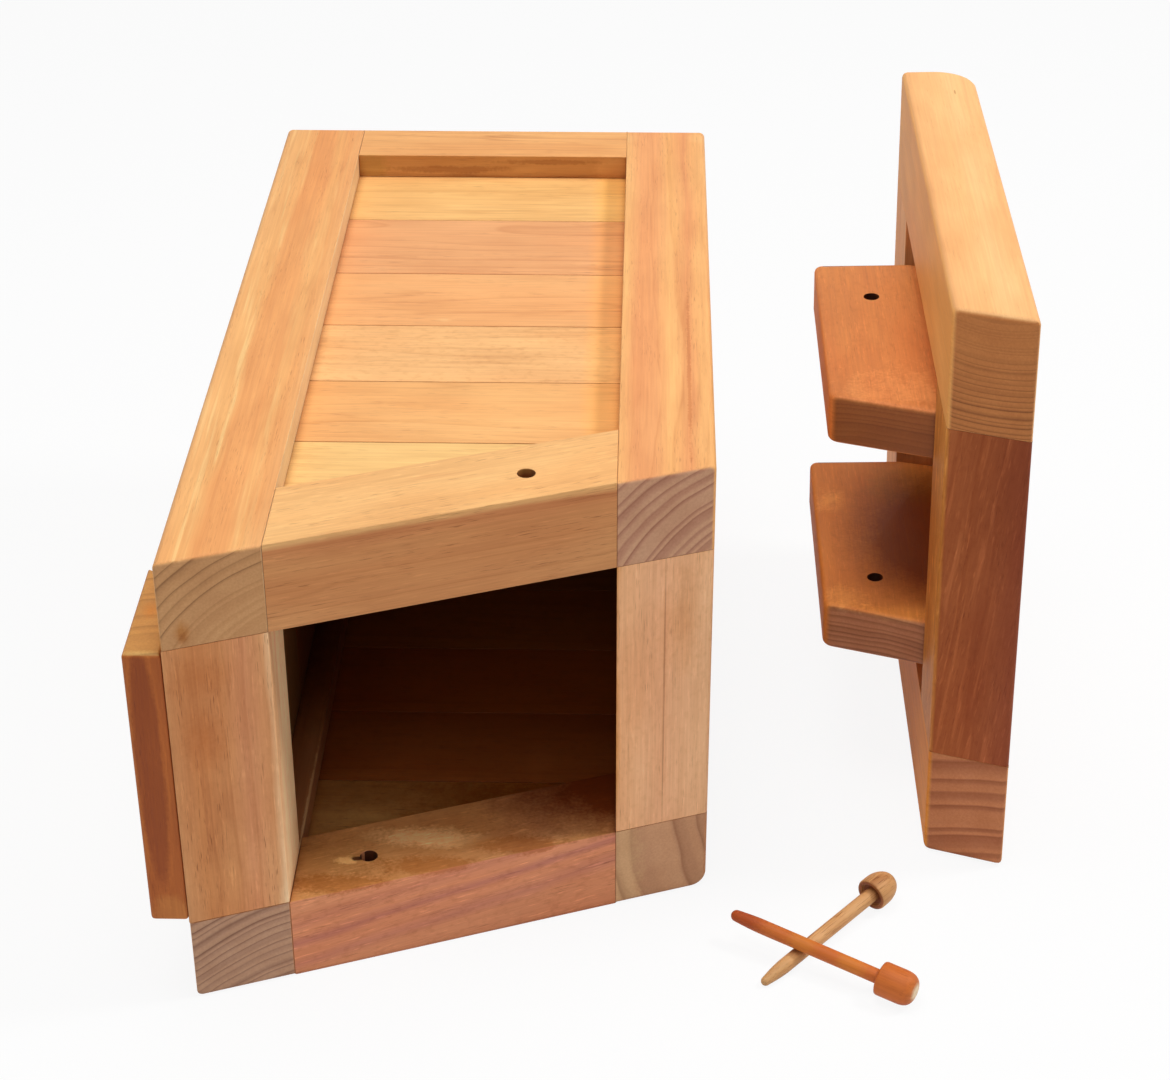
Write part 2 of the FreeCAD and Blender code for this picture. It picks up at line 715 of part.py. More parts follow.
os.makedirs("parts", exist_ok=True)
for piece, _ in pieces:
    piece.Shape.exportStep("parts/%s.step" % piece.Label)
print("pieces", len(pieces), "origin", d.origin_x.value, d.origin_y.value)
print("set", whole.XLength, whole.YLength, whole.ZLength)
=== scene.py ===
import math
import bpy
import numpy as np
from mathutils import Matrix, Vector, noise as smooth_noise
from mathutils.geometry import tessellate_polygon


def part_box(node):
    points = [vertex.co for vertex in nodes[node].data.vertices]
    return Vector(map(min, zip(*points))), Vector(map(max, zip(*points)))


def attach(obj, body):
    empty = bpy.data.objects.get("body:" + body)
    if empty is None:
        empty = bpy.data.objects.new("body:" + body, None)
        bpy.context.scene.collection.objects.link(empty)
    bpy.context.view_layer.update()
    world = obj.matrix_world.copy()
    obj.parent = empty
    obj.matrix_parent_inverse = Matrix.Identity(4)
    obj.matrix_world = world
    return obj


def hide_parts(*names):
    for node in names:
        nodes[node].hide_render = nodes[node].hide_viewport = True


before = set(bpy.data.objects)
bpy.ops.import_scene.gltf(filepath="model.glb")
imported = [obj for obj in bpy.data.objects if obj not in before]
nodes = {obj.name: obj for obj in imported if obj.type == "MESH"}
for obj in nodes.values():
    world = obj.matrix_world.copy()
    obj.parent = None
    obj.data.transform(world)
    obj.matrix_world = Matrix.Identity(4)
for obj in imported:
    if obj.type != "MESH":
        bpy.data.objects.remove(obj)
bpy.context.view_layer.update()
scene = bpy.context.scene
scene.view_settings.view_transform = "Standard"

# Main sizes of the box and the roof, in metres
MM = 0.001
FALL = 0.37
BOX_SIDE = 0.2
BACK_HEIGHT = 0.394
POST = 0.037
ROOF_THICK = 0.0315
ROOF_WIDTH = 0.254
ROOF_LONG = 0.238

# Camera at the photograph's viewing angle
CAMERA_AT = Vector((0.018024, -0.960088, 0.68319))
CAMERA_RIGHT = Vector((0.999689, 0.024814, -0.002566))
CAMERA_UP = Vector((-0.010825, 0.52416, 0.851551))
CAMERA_AHEAD = Vector((-0.022475, 0.851258, -0.524265))
LENS = 79.575
SENSOR = 36.0
CLIP_START = 0.01

# Directions, and where the box's own outer planes lie
X, Y, Z = (1, 0, 0), (0, 1, 0), (0, 0, 1)
SLANT = (1, FALL, 0)
box_low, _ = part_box("back_left_post")
_, floor_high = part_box("back_bottom_rail")
BACK_X = box_low.x
FLOOR_Y = floor_high.y
slope = Vector((FALL, -1.0, 0.0)).normalized()
slope_level = slope.dot(Vector((BACK_X, FLOOR_Y - BACK_HEIGHT, 0.0)))

# The middle of a noise, and the levels that it seldom leaves
HALF = 0.5
NOISE_SPAN = (0.3, 0.7)
VECTOR, COLOUR, VALUE = "NodeSocketVector", "NodeSocketColor", "NodeSocketFloat"


def set_ramp(ramp, stops):
    while len(ramp.elements) < len(stops):
        ramp.elements.new(HALF)
    for element, (at, colour) in zip(ramp.elements, stops):
        element.position = at
        element.color = colour


class Net:
    """Adds nodes to a tree and links or sets their inputs."""

    def __init__(self, tree):
        self.tree = tree

    def add(self, kind, inputs=None, **settings):
        node = self.tree.nodes.new(kind)
        for name, value in settings.items():
            setattr(node, name, value)
        for key, value in (inputs or {}).items():
            self.put(node.inputs[key], value)
        return node

    def put(self, socket, value):
        """Links a socket to another, or sets it. A colour of three values gets its alpha."""
        if isinstance(value, bpy.types.NodeSocket):
            self.tree.links.new(value, socket)
        else:
            socket.default_value = (*value, 1.0) if socket.type == "RGBA" else value

    def math(self, operation, *values, clamp=False):
        node = self.add("ShaderNodeMath", operation=operation, use_clamp=clamp)
        for socket, value in zip(node.inputs, values):
            self.put(socket, value)
        return node.outputs[0]

    def vector(self, operation, *values):
        node = self.add("ShaderNodeVectorMath", operation=operation)
        for socket, value in zip(node.inputs, values):
            self.put(socket, value)
        return node.outputs["Value" if operation in ("LENGTH", "DOT_PRODUCT") else "Vector"]

    def noise(self, place, along, across, detail=2.0, roughness=0.5):
        """Noise by its repeats for each unit along X, which is the grain, and across it."""
        scaled = self.vector("MULTIPLY", place, (along, across, across))
        inputs = {"Vector": scaled, "Scale": 1.0, "Detail": detail, "Roughness": roughness}
        return self.add("ShaderNodeTexNoise", inputs).outputs

    def pattern(self, place, along, across, low, high, detail=2.0):
        """Noise as a share: none below the low level, all of it above the high one."""
        return self.fit(self.noise(place, along, across, detail)[0], low, high)

    def line_noise(self, value, scale):
        inputs = {"W": value, "Scale": scale, "Detail": 1.0}
        return self.add("ShaderNodeTexNoise", inputs, noise_dimensions="1D").outputs[0]

    def fit(self, value, low, high, to_low=0.0, to_high=1.0):
        inputs = {"Value": value, "From Min": low, "From Max": high, "To Min": to_low, "To Max": to_high}
        return self.add("ShaderNodeMapRange", inputs).outputs[0]

    def profile(self, value, steps):
        node = self.add("ShaderNodeValToRGB", {"Fac": value})
        set_ramp(node.color_ramp, [(at, (level, level, level, 1.0)) for at, level in steps])
        return node.outputs["Color"]

    def mix(self, share, first, second, blend="MIX"):
        node = self.add("ShaderNodeMix", data_type="RGBA", blend_type=blend)
        self.put(node.inputs["Factor"], share)
        self.put(node.inputs["A"], first)
        self.put(node.inputs["B"], second)
        return node.outputs["Result"]


def new_group(name, kind, inputs, outputs):
    """A node group with its sockets, the net that fills it, and what it is given."""
    group = bpy.data.node_groups.new(name, kind)
    for direction, sockets in (("INPUT", inputs), ("OUTPUT", outputs)):
        for socket, socket_kind in sockets.items():
            group.interface.new_socket(name=socket, in_out=direction, socket_type=socket_kind)
    net = Net(group)
    return group, net, net.add("NodeGroupInput").outputs


def new_material(name):
    material = bpy.data.materials.new(name)
    material.use_nodes = True
    return material, Net(material.node_tree), material.node_tree.nodes["Principled BSDF"]


def rgb(red, green, blue):
    """A colour written as it is seen, in 0 to 255, as the linear values that shaders take."""
    linear = []
    for value in (red, green, blue):
        share = value / 255.0
        linear.append(share / 12.92 if share <= 0.04045 else ((share + 0.055) / 1.055) ** 2.4)
    return tuple(linear)


# Teak as a solid: growth rings round a pith outside the piece, and lines, fibres and pores along the grain
TEAK_INPUTS = {
    "Place": VECTOR, "Grain": VECTOR, "Base": COLOUR, "End": COLOUR, "RingTint": COLOUR, "ToneTint": COLOUR,
    "Ring": VALUE, "RingDepth": VALUE, "RingFrom": VALUE, "Wave": VALUE, "Line": VALUE, "Pores": VALUE,
    "EndRing": VALUE, "EndTint": COLOUR, "EndPale": COLOUR, "Fleck": VALUE, "FleckTint": COLOUR,
    "Mottle": VALUE, "Streak": VALUE, "StreakTint": COLOUR,
}
TEAK_OUTPUTS = {"Color": COLOUR, "Roughness": VALUE, "Normal": VECTOR}

# Noises: repeats for each millimetre along and across the grain, then detail and roughness where they differ
WANDER = (0.006, 0.02)
LINE_FIELD = (0.008, 0.11)
FIBRE = (0.025, 1.1, 3.0, 0.6)
BLOTCH = (0.025, 0.07, 3.0)

# Patterns: repeats along and across the grain, the noise levels between which they come in, then detail
LINE_GAPS = (0.02, 0.07, 0.45, 0.65)
PORE = (0.14, 2.6, 0.6, 0.72, 1.0)
PORE_CROWD = (0.018, 0.16, 0.42, 0.62)
FLECK = (0.11, 0.9, 0.6, 0.72)
MOTTLE = (0.28, 0.4, 0.52, 0.7)
STREAK = (0.014, 0.42, 0.54, 0.68)
TONE = (0.009, 0.035, 0.42, 0.62)

# Rings and lines: the late wood's and early wood's share across one ring, and how both vary
RING_PROFILE = [(0.0, 0.1), (0.5, 0.05), (0.78, 0.4), (0.93, 1.0), (1.0, 0.1)]
EARLY_PROFILE = [(0.0, 0.0), (0.12, 1.0), (0.4, 0.8), (0.65, 0.0), (1.0, 0.0)]
RING_PACE = 0.6
RING_UNEVEN = 2.0
RING_PICK = 3.7
RING_FAINT = 0.4
RING_FADE = 10.0
RING_INNER = 0.15
LINE_LEVELS = 4.0
LINE_EDGE = 0.33

# Tints, painted crevice shade, relief and sheen
LINE_TINT = (0.66, 0.5, 0.38)
PORE_TINT = (0.5, 0.37, 0.28)
MOTTLE_TINT = (0.78, 0.68, 0.58)
END_FACING = (0.6, 0.88)
FIBRE_DEPTH = 0.42
BLOTCH_RANGE = (0.92, 1.07)
CREVICE = 0.004
CREVICE_SAMPLES = 4
CREVICE_LEVELS = (0.25, 0.85, 0.4, 1.0)
WARM = (0.7, 1.05, 1.3)
FIBRE_RELIEF = 0.6
RING_RELIEF = 0.4
RELIEF = 0.3
RELIEF_DEPTH = 0.0003
ROUGH = 0.55
ROUGH_SPREAD = 0.2


def teak_rings(net, place, given):
    """The place that the rings wander to, their late wood and their early wood."""
    wander = net.vector("SUBTRACT", net.noise(place, *WANDER)["Color"], (HALF, HALF, HALF))
    shift = net.add("ShaderNodeVectorMath", {"Vector": wander, "Scale": given["Wave"]}, operation="SCALE")
    spot = net.vector("ADD", place, shift.outputs["Vector"])
    radius = net.vector("LENGTH", net.vector("MULTIPLY", spot, (0.0, 1.0, 1.0)))
    turns = net.math("DIVIDE", radius, given["Ring"])
    turns = net.math("ADD", turns, net.math("MULTIPLY", net.line_noise(turns, RING_PACE), RING_UNEVEN))
    within = net.math("FRACT", turns)
    early = net.profile(within, EARLY_PROFILE)
    fade = net.fit(net.line_noise(net.math("FLOOR", turns), RING_PICK), *NOISE_SPAN, RING_FAINT, 1.0)
    late = net.math("MULTIPLY", net.profile(within, RING_PROFILE), fade)
    full_from = net.math("ADD", given["RingFrom"], RING_FADE)
    late = net.math("MULTIPLY", late, net.fit(radius, given["RingFrom"], full_from, RING_INNER, 1.0))
    return spot, late, early


def teak_marks(net, place, spot, given):
    """Thin lines that come and go, pale flecks, soft patches and streaks, each as a share."""
    level = net.math("FRACT", net.math("MULTIPLY", net.noise(spot, *LINE_FIELD)[0], LINE_LEVELS))
    line = net.fit(net.math("ABSOLUTE", net.math("SUBTRACT", level, HALF)), LINE_EDGE, HALF)
    marks = {
        "Line": net.math("MULTIPLY", line, net.pattern(place, *LINE_GAPS)),
        "Fleck": net.pattern(place, *FLECK),
        "Mottle": net.pattern(place, *MOTTLE),
        "Streak": net.pattern(spot, *STREAK),
    }
    return {name: net.math("MULTIPLY", mark, given[name], clamp=True) for name, mark in marks.items()}


def make_teak_group():
    group, net, given = new_group("teak", "ShaderNodeTree", TEAK_INPUTS, TEAK_OUTPUTS)
    place = given["Place"]
    spot, ring, early = teak_rings(net, place, given)
    marks = teak_marks(net, place, spot, given)
    pores = net.math("MULTIPLY", net.pattern(place, *PORE), net.pattern(place, *PORE_CROWD))
    fibre = net.math("SUBTRACT", net.noise(place, *FIBRE)[0], HALF)
    blotch = net.fit(net.noise(place, *BLOTCH)[0], *NOISE_SPAN, *BLOTCH_RANGE)

    # Colour of the long faces and of the end grain
    colour = given["Base"]
    for share, tint in (
        (net.pattern(place, *TONE), given["ToneTint"]),
        (net.math("MULTIPLY", ring, given["RingDepth"]), given["RingTint"]),
        (marks["Line"], LINE_TINT),
        (marks["Mottle"], MOTTLE_TINT),
        (marks["Fleck"], given["FleckTint"]),
        (marks["Streak"], given["StreakTint"]),
        (net.math("MULTIPLY", pores, given["Pores"]), PORE_TINT),
    ):
        colour = net.mix(share, colour, tint, "MULTIPLY")
    end_colour = given["End"]
    for wood, tint in ((early, given["EndPale"]), (ring, given["EndTint"])):
        end_colour = net.mix(net.math("MULTIPLY", wood, given["EndRing"]), end_colour, tint, "MULTIPLY")
    normal = net.add("ShaderNodeTexCoord").outputs["Normal"]
    facing = net.math("ABSOLUTE", net.vector("DOT_PRODUCT", normal, given["Grain"]))
    colour = net.mix(net.fit(facing, *END_FACING), colour, end_colour)

    # Darker fibres and blotches, dark joints, and painted shade in crevices and recesses from ambient
    # occlusion, all turning warm as they deepen
    level = net.math("MULTIPLY", net.math("ADD", net.math("MULTIPLY", fibre, FIBRE_DEPTH), 1.0), blotch)
    occlusion = net.add("ShaderNodeAmbientOcclusion", {"Distance": CREVICE}, samples=CREVICE_SAMPLES)
    level = net.math("MULTIPLY", level, net.fit(occlusion.outputs["AO"], *CREVICE_LEVELS))
    powers = {axis: net.math("POWER", level, power) for axis, power in zip("XYZ", WARM)}
    tint = net.vector("MULTIPLY", colour, net.add("ShaderNodeCombineXYZ", powers).outputs[0])

    # Relief and sheen
    height = net.math("SUBTRACT", net.math("MULTIPLY", fibre, FIBRE_RELIEF), pores)
    height = net.math("SUBTRACT", height, net.math("MULTIPLY", ring, RING_RELIEF))
    bump = net.add("ShaderNodeBump", {"Height": height, "Strength": RELIEF, "Distance": RELIEF_DEPTH})
    rough = net.math("ADD", net.math("MULTIPLY", fibre, ROUGH_SPREAD), ROUGH)
    net.add("NodeGroupOutput", {"Color": tint, "Roughness": rough, "Normal": bump.outputs["Normal"]})
    return group


# Painted shade in the chamber: its wood is darkened with depth below the sloping top, where little light
# reaches
floor_low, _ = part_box("floor_board_1")
INSIDE_END = floor_low.y + 0.5 * MM
INSIDE_WALL = 0.0245
INSIDE_FROM = 0.03
INSIDE_TO = 0.112
CHAMBER_SHADE_TINT = (0.36, 0.225, 0.085)
INSIDE_TURN = 0.4


def make_chamber_shade_group():
    group, net, given = new_group("inside", "ShaderNodeTree", {"Color": COLOUR}, {"Color": COLOUR})
    place = net.add("ShaderNodeTexCoord").outputs["Object"]
    depth = net.math("SUBTRACT", slope_level, net.vector("DOT_PRODUCT", place, slope))
    sideways = net.math("SUBTRACT", net.vector("DOT_PRODUCT", place, X), BACK_X + BOX_SIDE / 2)
    depth = net.math("ADD", depth, net.math("MULTIPLY", sideways, INSIDE_TURN))
    along = net.vector("DOT_PRODUCT", place, Y)
    share = net.fit(depth, INSIDE_FROM, INSIDE_TO)
    share = net.math("MULTIPLY", share, net.math("LESS_THAN", along, INSIDE_END))
    for axis, low in ((X, BACK_X), (Z, 0.0)):
        across = net.vector("DOT_PRODUCT", place, axis)
        from_middle = net.math("ABSOLUTE", net.math("SUBTRACT", across, low + BOX_SIDE / 2))
        share = net.math("MULTIPLY", share, net.math("LESS_THAN", from_middle, BOX_SIDE / 2 - INSIDE_WALL))
    net.add("NodeGroupOutput", {"Color": net.mix(share, given["Color"], CHAMBER_SHADE_TINT, "MULTIPLY")})
    return group


TEAK = make_teak_group()
CHAMBER_SHADE = make_chamber_shade_group()
LOOK_SOCKETS = {
    "End": "end", "RingTint": "ring_tint", "ToneTint": "tone", "Ring": "ring", "RingDepth": "ring_depth",
    "RingFrom": "ring_from", "Wave": "wave", "Pores": "pores", "EndRing": "end_ring", "EndTint": "end_tint",
    "EndPale": "end_pale", "Fleck": "fleck", "FleckTint": "fleck_tint", "Mottle": "mottle",
    "StreakTint": "streak_tint",
}
SEED_STEP = 173.0
ALONG_X = 0.6
BAND_SWAY = (0.007, 0.03, 1.0)
BAND_SWAY_WIDTH = 9.0
BAND_RAG = (0.03, 0.22)
BAND_RAG_WIDTH = 4.0
FACE_FROM, FACE_FULL = 0.6, 0.9
SPOT_FINE = 700.0
SPOT_BROAD = 150.0
SPOT_CORE = 0.55
# Painted shade on the walls of peg holes, lighter in a hole whose wall the key lamp lights
BORE_REACH = 4.6 * MM
BORE_FLAT, BORE_WALL = 0.9, 0.5
DEEP_BORE_SHADE = (0.12, 0.08, 0.06)
LIT_BORE_SHADE = (0.5, 0.4, 0.26)


def grain_turn(along):
    """Turns a place so that X runs along the grain."""
    side = Vector(X) if abs(along.x) < ALONG_X else Vector(Z)
    side = (side - along * side.dot(along)).normalized()
    return Matrix((along, side, along.cross(side)))


def put_bands(net, group, look, source, place, centre):
    """The base colour: one for the whole piece, or bands across it, each with its own strength of lines."""
    bands = look["bands"]
    if len(bands) == 1:
        (_, colour, lines), = bands
        net.put(group.inputs["Base"], colour)
        net.put(group.inputs["Line"], look["lines"] * lines)
        net.put(group.inputs["Streak"], look["streak"])
        return
    reach = max(abs(at) for at, _, _ in bands)
    away = net.vector("SUBTRACT", source["Object"], centre)
    across = net.vector("DOT_PRODUCT", away, Vector(look["across"]))
    sway = net.math("SUBTRACT", net.noise(place, *BAND_SWAY)[0], HALF)
    rag = net.math("SUBTRACT", net.noise(place, *BAND_RAG)[0], HALF)
    sway = net.math("MULTIPLY", sway, BAND_SWAY_WIDTH)
    sway = net.math("ADD", sway, net.math("MULTIPLY", rag, BAND_RAG_WIDTH))
    at = net.math("ADD", net.math("DIVIDE", across, MM), sway)
    ramp = net.add("ShaderNodeValToRGB", {"Fac": net.fit(at, -reach, reach)})
    stops = [((mm + reach) / (2 * reach), (*colour, lines)) for mm, colour, lines in bands]
    set_ramp(ramp.color_ramp, stops)
    net.put(group.inputs["Base"], ramp.outputs["Color"])
    for socket, key in (("Line", "lines"), ("Streak", "streak")):
        net.put(group.inputs[socket], net.math("MULTIPLY", ramp.outputs["Alpha"], look[key]))


def tint_faces(net, colour, source, faces):
    for direction, tint in faces:
        toward = net.vector("DOT_PRODUCT", source["Normal"], Vector(direction).normalized())
        colour = net.mix(net.fit(toward, FACE_FROM, FACE_FULL), colour, tint, "MULTIPLY")
    return colour


def tint_spots(net, colour, source, spots):
    for at, size, tint, fray, *core in spots:
        away = net.vector("SUBTRACT", source["Object"], Vector(at) * MM)
        away = net.vector("LENGTH", net.vector("DIVIDE", away, Vector(size) * MM))
        fine, broad = (net.noise(source["Object"], scale, scale)[0] for scale in (SPOT_FINE, SPOT_BROAD))
        ragged = net.math("SUBTRACT", net.math("ADD", fine, broad), 2 * HALF)
        away = net.math("ADD", away, net.math("MULTIPLY", ragged, fray))
        colour = net.mix(net.fit(away, 1.0, core[0] if core else SPOT_CORE), colour, tint, "MULTIPLY")
    return colour


# Painted shade on the walls of bores
def tint_bores(net, colour, source, bores):
    for x, y, tint in bores:
        away = net.vector("SUBTRACT", source["Object"], (x * MM, y * MM, 0.0))
        away = net.vector("LENGTH", net.vector("MULTIPLY", away, (1.0, 1.0, 0.0)))
        upright = net.math("ABSOLUTE", net.vector("DOT_PRODUCT", source["Normal"], Z))
        wall = net.fit(upright, BORE_FLAT, BORE_WALL)
        share = net.math("MULTIPLY", net.math("LESS_THAN", away, BORE_REACH), wall)
        colour = net.mix(share, colour, tint, "MULTIPLY")
    return colour


def teak(name, look, centre, seed, inside):
    """A teak material for one piece; inside says if the chamber's shade reaches it.

    In a look, grain is a direction, pith its place from the piece's middle and ring the rings' width, in
    millimetres. Bands are (place along the direction across, colour, strength of lines), faces (direction,
    tint), bores (x, y, tint) and spots (place, size, tint, raggedness, and where the full tint starts, as a
    share of the size).
    """
    material, net, shader = new_material(name)
    along = Vector(look["grain"]).normalized()
    turn = grain_turn(along)
    middle = turn @ (Vector(centre) / MM + Vector(look["pith"]))
    source = net.add("ShaderNodeTexCoord").outputs
    mapping = {"Vector": source["Object"], "Location": Vector((seed * SEED_STEP, 0.0, 0.0)) - middle,
               "Rotation": turn.to_euler("XYZ"), "Scale": (1 / MM, 1 / MM, 1 / MM)}
    place = net.add("ShaderNodeMapping", mapping).outputs["Vector"]
    group = net.add("ShaderNodeGroup", node_tree=TEAK)
    net.put(group.inputs["Place"], place)
    net.put(group.inputs["Grain"], along)
    for socket, key in LOOK_SOCKETS.items():
        net.put(group.inputs[socket], look[key])
    put_bands(net, group, look, source, place, centre)
    colour = tint_faces(net, group.outputs["Color"], source, look["faces"])
    colour = tint_spots(net, colour, source, look["spots"])
    colour = tint_bores(net, colour, source, look["bores"])
    if inside:
        # painted shade of the chamber, deepening below the sloping top
        colour = net.add("ShaderNodeGroup", {"Color": colour}, node_tree=CHAMBER_SHADE).outputs["Color"]
    net.put(shader.inputs["Base Color"], colour)
    net.put(shader.inputs["Roughness"], group.outputs["Roughness"])
    net.put(shader.inputs["Normal"], group.outputs["Normal"])
    shader.inputs["Specular IOR Level"].default_value = look["gloss"]
    return material


STEEL_SCRATCH = (9000.0, 300.0)
STEEL_DARK = rgb(150, 148, 142)
STEEL_BRIGHT = rgb(196, 194, 188)
STEEL_ROUGH = (0.3, 0.5)


def steel(name):
    material, net, shader = new_material(name)
    scratches = net.noise(net.add("ShaderNodeTexCoord").outputs["Object"], *STEEL_SCRATCH)[0]
    net.put(shader.inputs["Base Color"], net.mix(scratches, STEEL_DARK, STEEL_BRIGHT))
    net.put(shader.inputs["Roughness"], net.fit(scratches, *NOISE_SPAN, *STEEL_ROUGH))
    shader.inputs["Metallic"].default_value = 1.0
    return material


# Eased edges: wide where two outer surfaces meet, a hairline elsewhere, so that flush joints show as lines
SURFACE_FIT = 0.05 * MM
TWO_SURFACES = 1.5
BENT = math.radians(25)
WELD_WITHIN = 0.01 * MM
FLAT_WITHIN = math.radians(0.5)
EASE_STEPS = 3


def plane_gap(net, end, normal, level):
    return net.math("SUBTRACT", net.vector("DOT_PRODUCT", end, normal), level)


def round_gap(net, end, point, direction, reach):
    away = net.vector("CROSS_PRODUCT", net.vector("SUBTRACT", end, point), direction)
    return net.math("SUBTRACT", net.vector("LENGTH", away), reach)


def ease_tree(name, planes, rounds, narrow_share):
    shape = {"Geometry": "NodeSocketGeometry"}
    tree, net, given = new_group(name, "GeometryNodeTree", shape, shape)
    ends = net.add("GeometryNodeInputMeshEdgeVertices").outputs
    surfaces = [(plane_gap, plane) for plane in planes] + [(round_gap, bend) for bend in rounds]
    count = 0.0
    for gap_of, surface in surfaces:
        on = 1.0
        for end in (ends["Position 1"], ends["Position 2"]):
            gap = net.math("ABSOLUTE", gap_of(net, end, *surface))
            on = net.math("MULTIPLY", on, net.math("LESS_THAN", gap, SURFACE_FIT))
        count = net.math("ADD", count, on)
    outer = net.math("GREATER_THAN", count, TWO_SURFACES)
    angle = net.add("GeometryNodeInputMeshEdgeAngle").outputs["Unsigned Angle"]
    bent = net.math("GREATER_THAN", angle, BENT)
    weight = net.math("MULTIPLY", bent, net.math("MAXIMUM", outer, narrow_share))
    inputs = {"Geometry": given["Geometry"], "Name": "bevel_weight_edge", "Value": weight}
    stored = net.add("GeometryNodeStoreNamedAttribute", inputs, data_type="FLOAT", domain="EDGE")
    smooth = net.add("GeometryNodeSetShadeSmooth", {"Geometry": stored.outputs[0]})
    net.add("NodeGroupOutput", {"Geometry": smooth.outputs[0]})
    return tree


def ease(node, tree, width):
    weld = node.modifiers.new("weld", "WELD")
    weld.merge_threshold = WELD_WITHIN
    flat = node.modifiers.new("flat", "DECIMATE")
    flat.decimate_type = "DISSOLVE"
    flat.angle_limit = FLAT_WITHIN
    weights = node.modifiers.new("edges", "NODES")
    weights.node_group = tree
    bevel = node.modifiers.new("ease", "BEVEL")
    bevel.limit_method = "WEIGHT"
    bevel.width = width
    bevel.segments = EASE_STEPS
    bevel.use_clamp_overlap = False
    even = node.modifiers.new("even", "WEIGHTED_NORMAL")
    even.keep_sharp = False


# The roof stands on its left edge and leans a little: its own X runs through it, Y along it and Z across it
ROOF_LEAN = Matrix.Rotation(math.radians(-1.36), 3, "Y")
ROOF_STAND = 0.2925
ROOF_FOOT = Vector((ROOF_STAND + BACK_X, 0.0, 0.0))
_, roof_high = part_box("roof_right_stile")
ROOF_REAR_Y = roof_high.y - ROOF_LONG


def on_roof(point):
    return ROOF_FOOT + ROOF_LEAN @ Vector(point)


def roof_plane(normal, point):
    turned = ROOF_LEAN @ Vector(normal).normalized()
    return turned, turned.dot(on_roof(point))


BOX_PLANES = [
    (Vector(X), BACK_X), (Vector(X), BACK_X + BOX_SIDE), (Vector(Z), 0.0), (Vector(Z), BOX_SIDE),
    (Vector(Y), FLOOR_Y), (slope, slope_level),
]
ROOF_PLANES = [
    roof_plane(X, (0, 0, 0)), roof_plane(X, (ROOF_THICK, 0, 0)),
    roof_plane(Z, (0, 0, 0)), roof_plane(Z, (0, 0, ROOF_WIDTH)),
    roof_plane(Y, (0, roof_high.y, 0)), roof_plane((FALL, 1, 0), (0, ROOF_REAR_Y, 0)),
]
POST_ROUND = 0.0025
SOFT_ROUND = 0.006
ROOF_ROUND = 0.018
BOX_ROUNDS = []
for x_side in (0, 1):
    for z_side in (0, 1):
        reach = SOFT_ROUND if (x_side, z_side) == (1, 0) else POST_ROUND
        x_in, z_in = (BOX_SIDE - reach if side else reach for side in (x_side, z_side))
        BOX_ROUNDS.append((Vector((BACK_X + x_in, 0.0, z_in)), Vector(Y), reach))
roof_round_at = (ROOF_THICK - ROOF_ROUND, roof_high.y - ROOF_ROUND, 0.0)
ROOF_ROUNDS = [(on_roof(roof_round_at), ROOF_LEAN @ Vector(Z), ROOF_ROUND)]
BOX_HAIRLINE = 0.26
ROOF_HAIRLINE = 0.12
BOX_EASE = ease_tree("box_edges", BOX_PLANES, BOX_ROUNDS, BOX_HAIRLINE)
ROOF_EASE = ease_tree("roof_edges", ROOF_PLANES, ROOF_ROUNDS, ROOF_HAIRLINE)
PLAIN_EASE = ease_tree("plain_edges", [], [], 1.0)


def middle_of(name):
    low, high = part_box(name)
    return (low + high) / 2


# Looks of the wood: what every piece starts from, then the pieces that differ
PLAIN = dict(
    pith=(60, 0, -60), ring=7.0, ring_depth=0.6, ring_from=-20.0, ring_tint=(0.78, 0.64, 0.53), wave=8.0,
    lines=0.5, pores=0.5, end=rgb(193, 143, 102), end_ring=1.0, end_tint=(0.62, 0.52, 0.46),
    end_pale=(1.08, 1.1, 1.1), tone=(0.98, 0.91, 0.86), fleck=0.0, fleck_tint=(1.25, 1.34, 1.42), mottle=0.0,
    streak=0.0, streak_tint=(1.04, 1.16, 1.24), bands=[(0, rgb(231, 170, 107), 0.6)], across=X, faces=[],
    spots=[], bores=[], gloss=0.3)


def one(red, green, blue, lines=0.6):
    """A piece of one colour."""
    return [(0, rgb(red, green, blue), lines)]


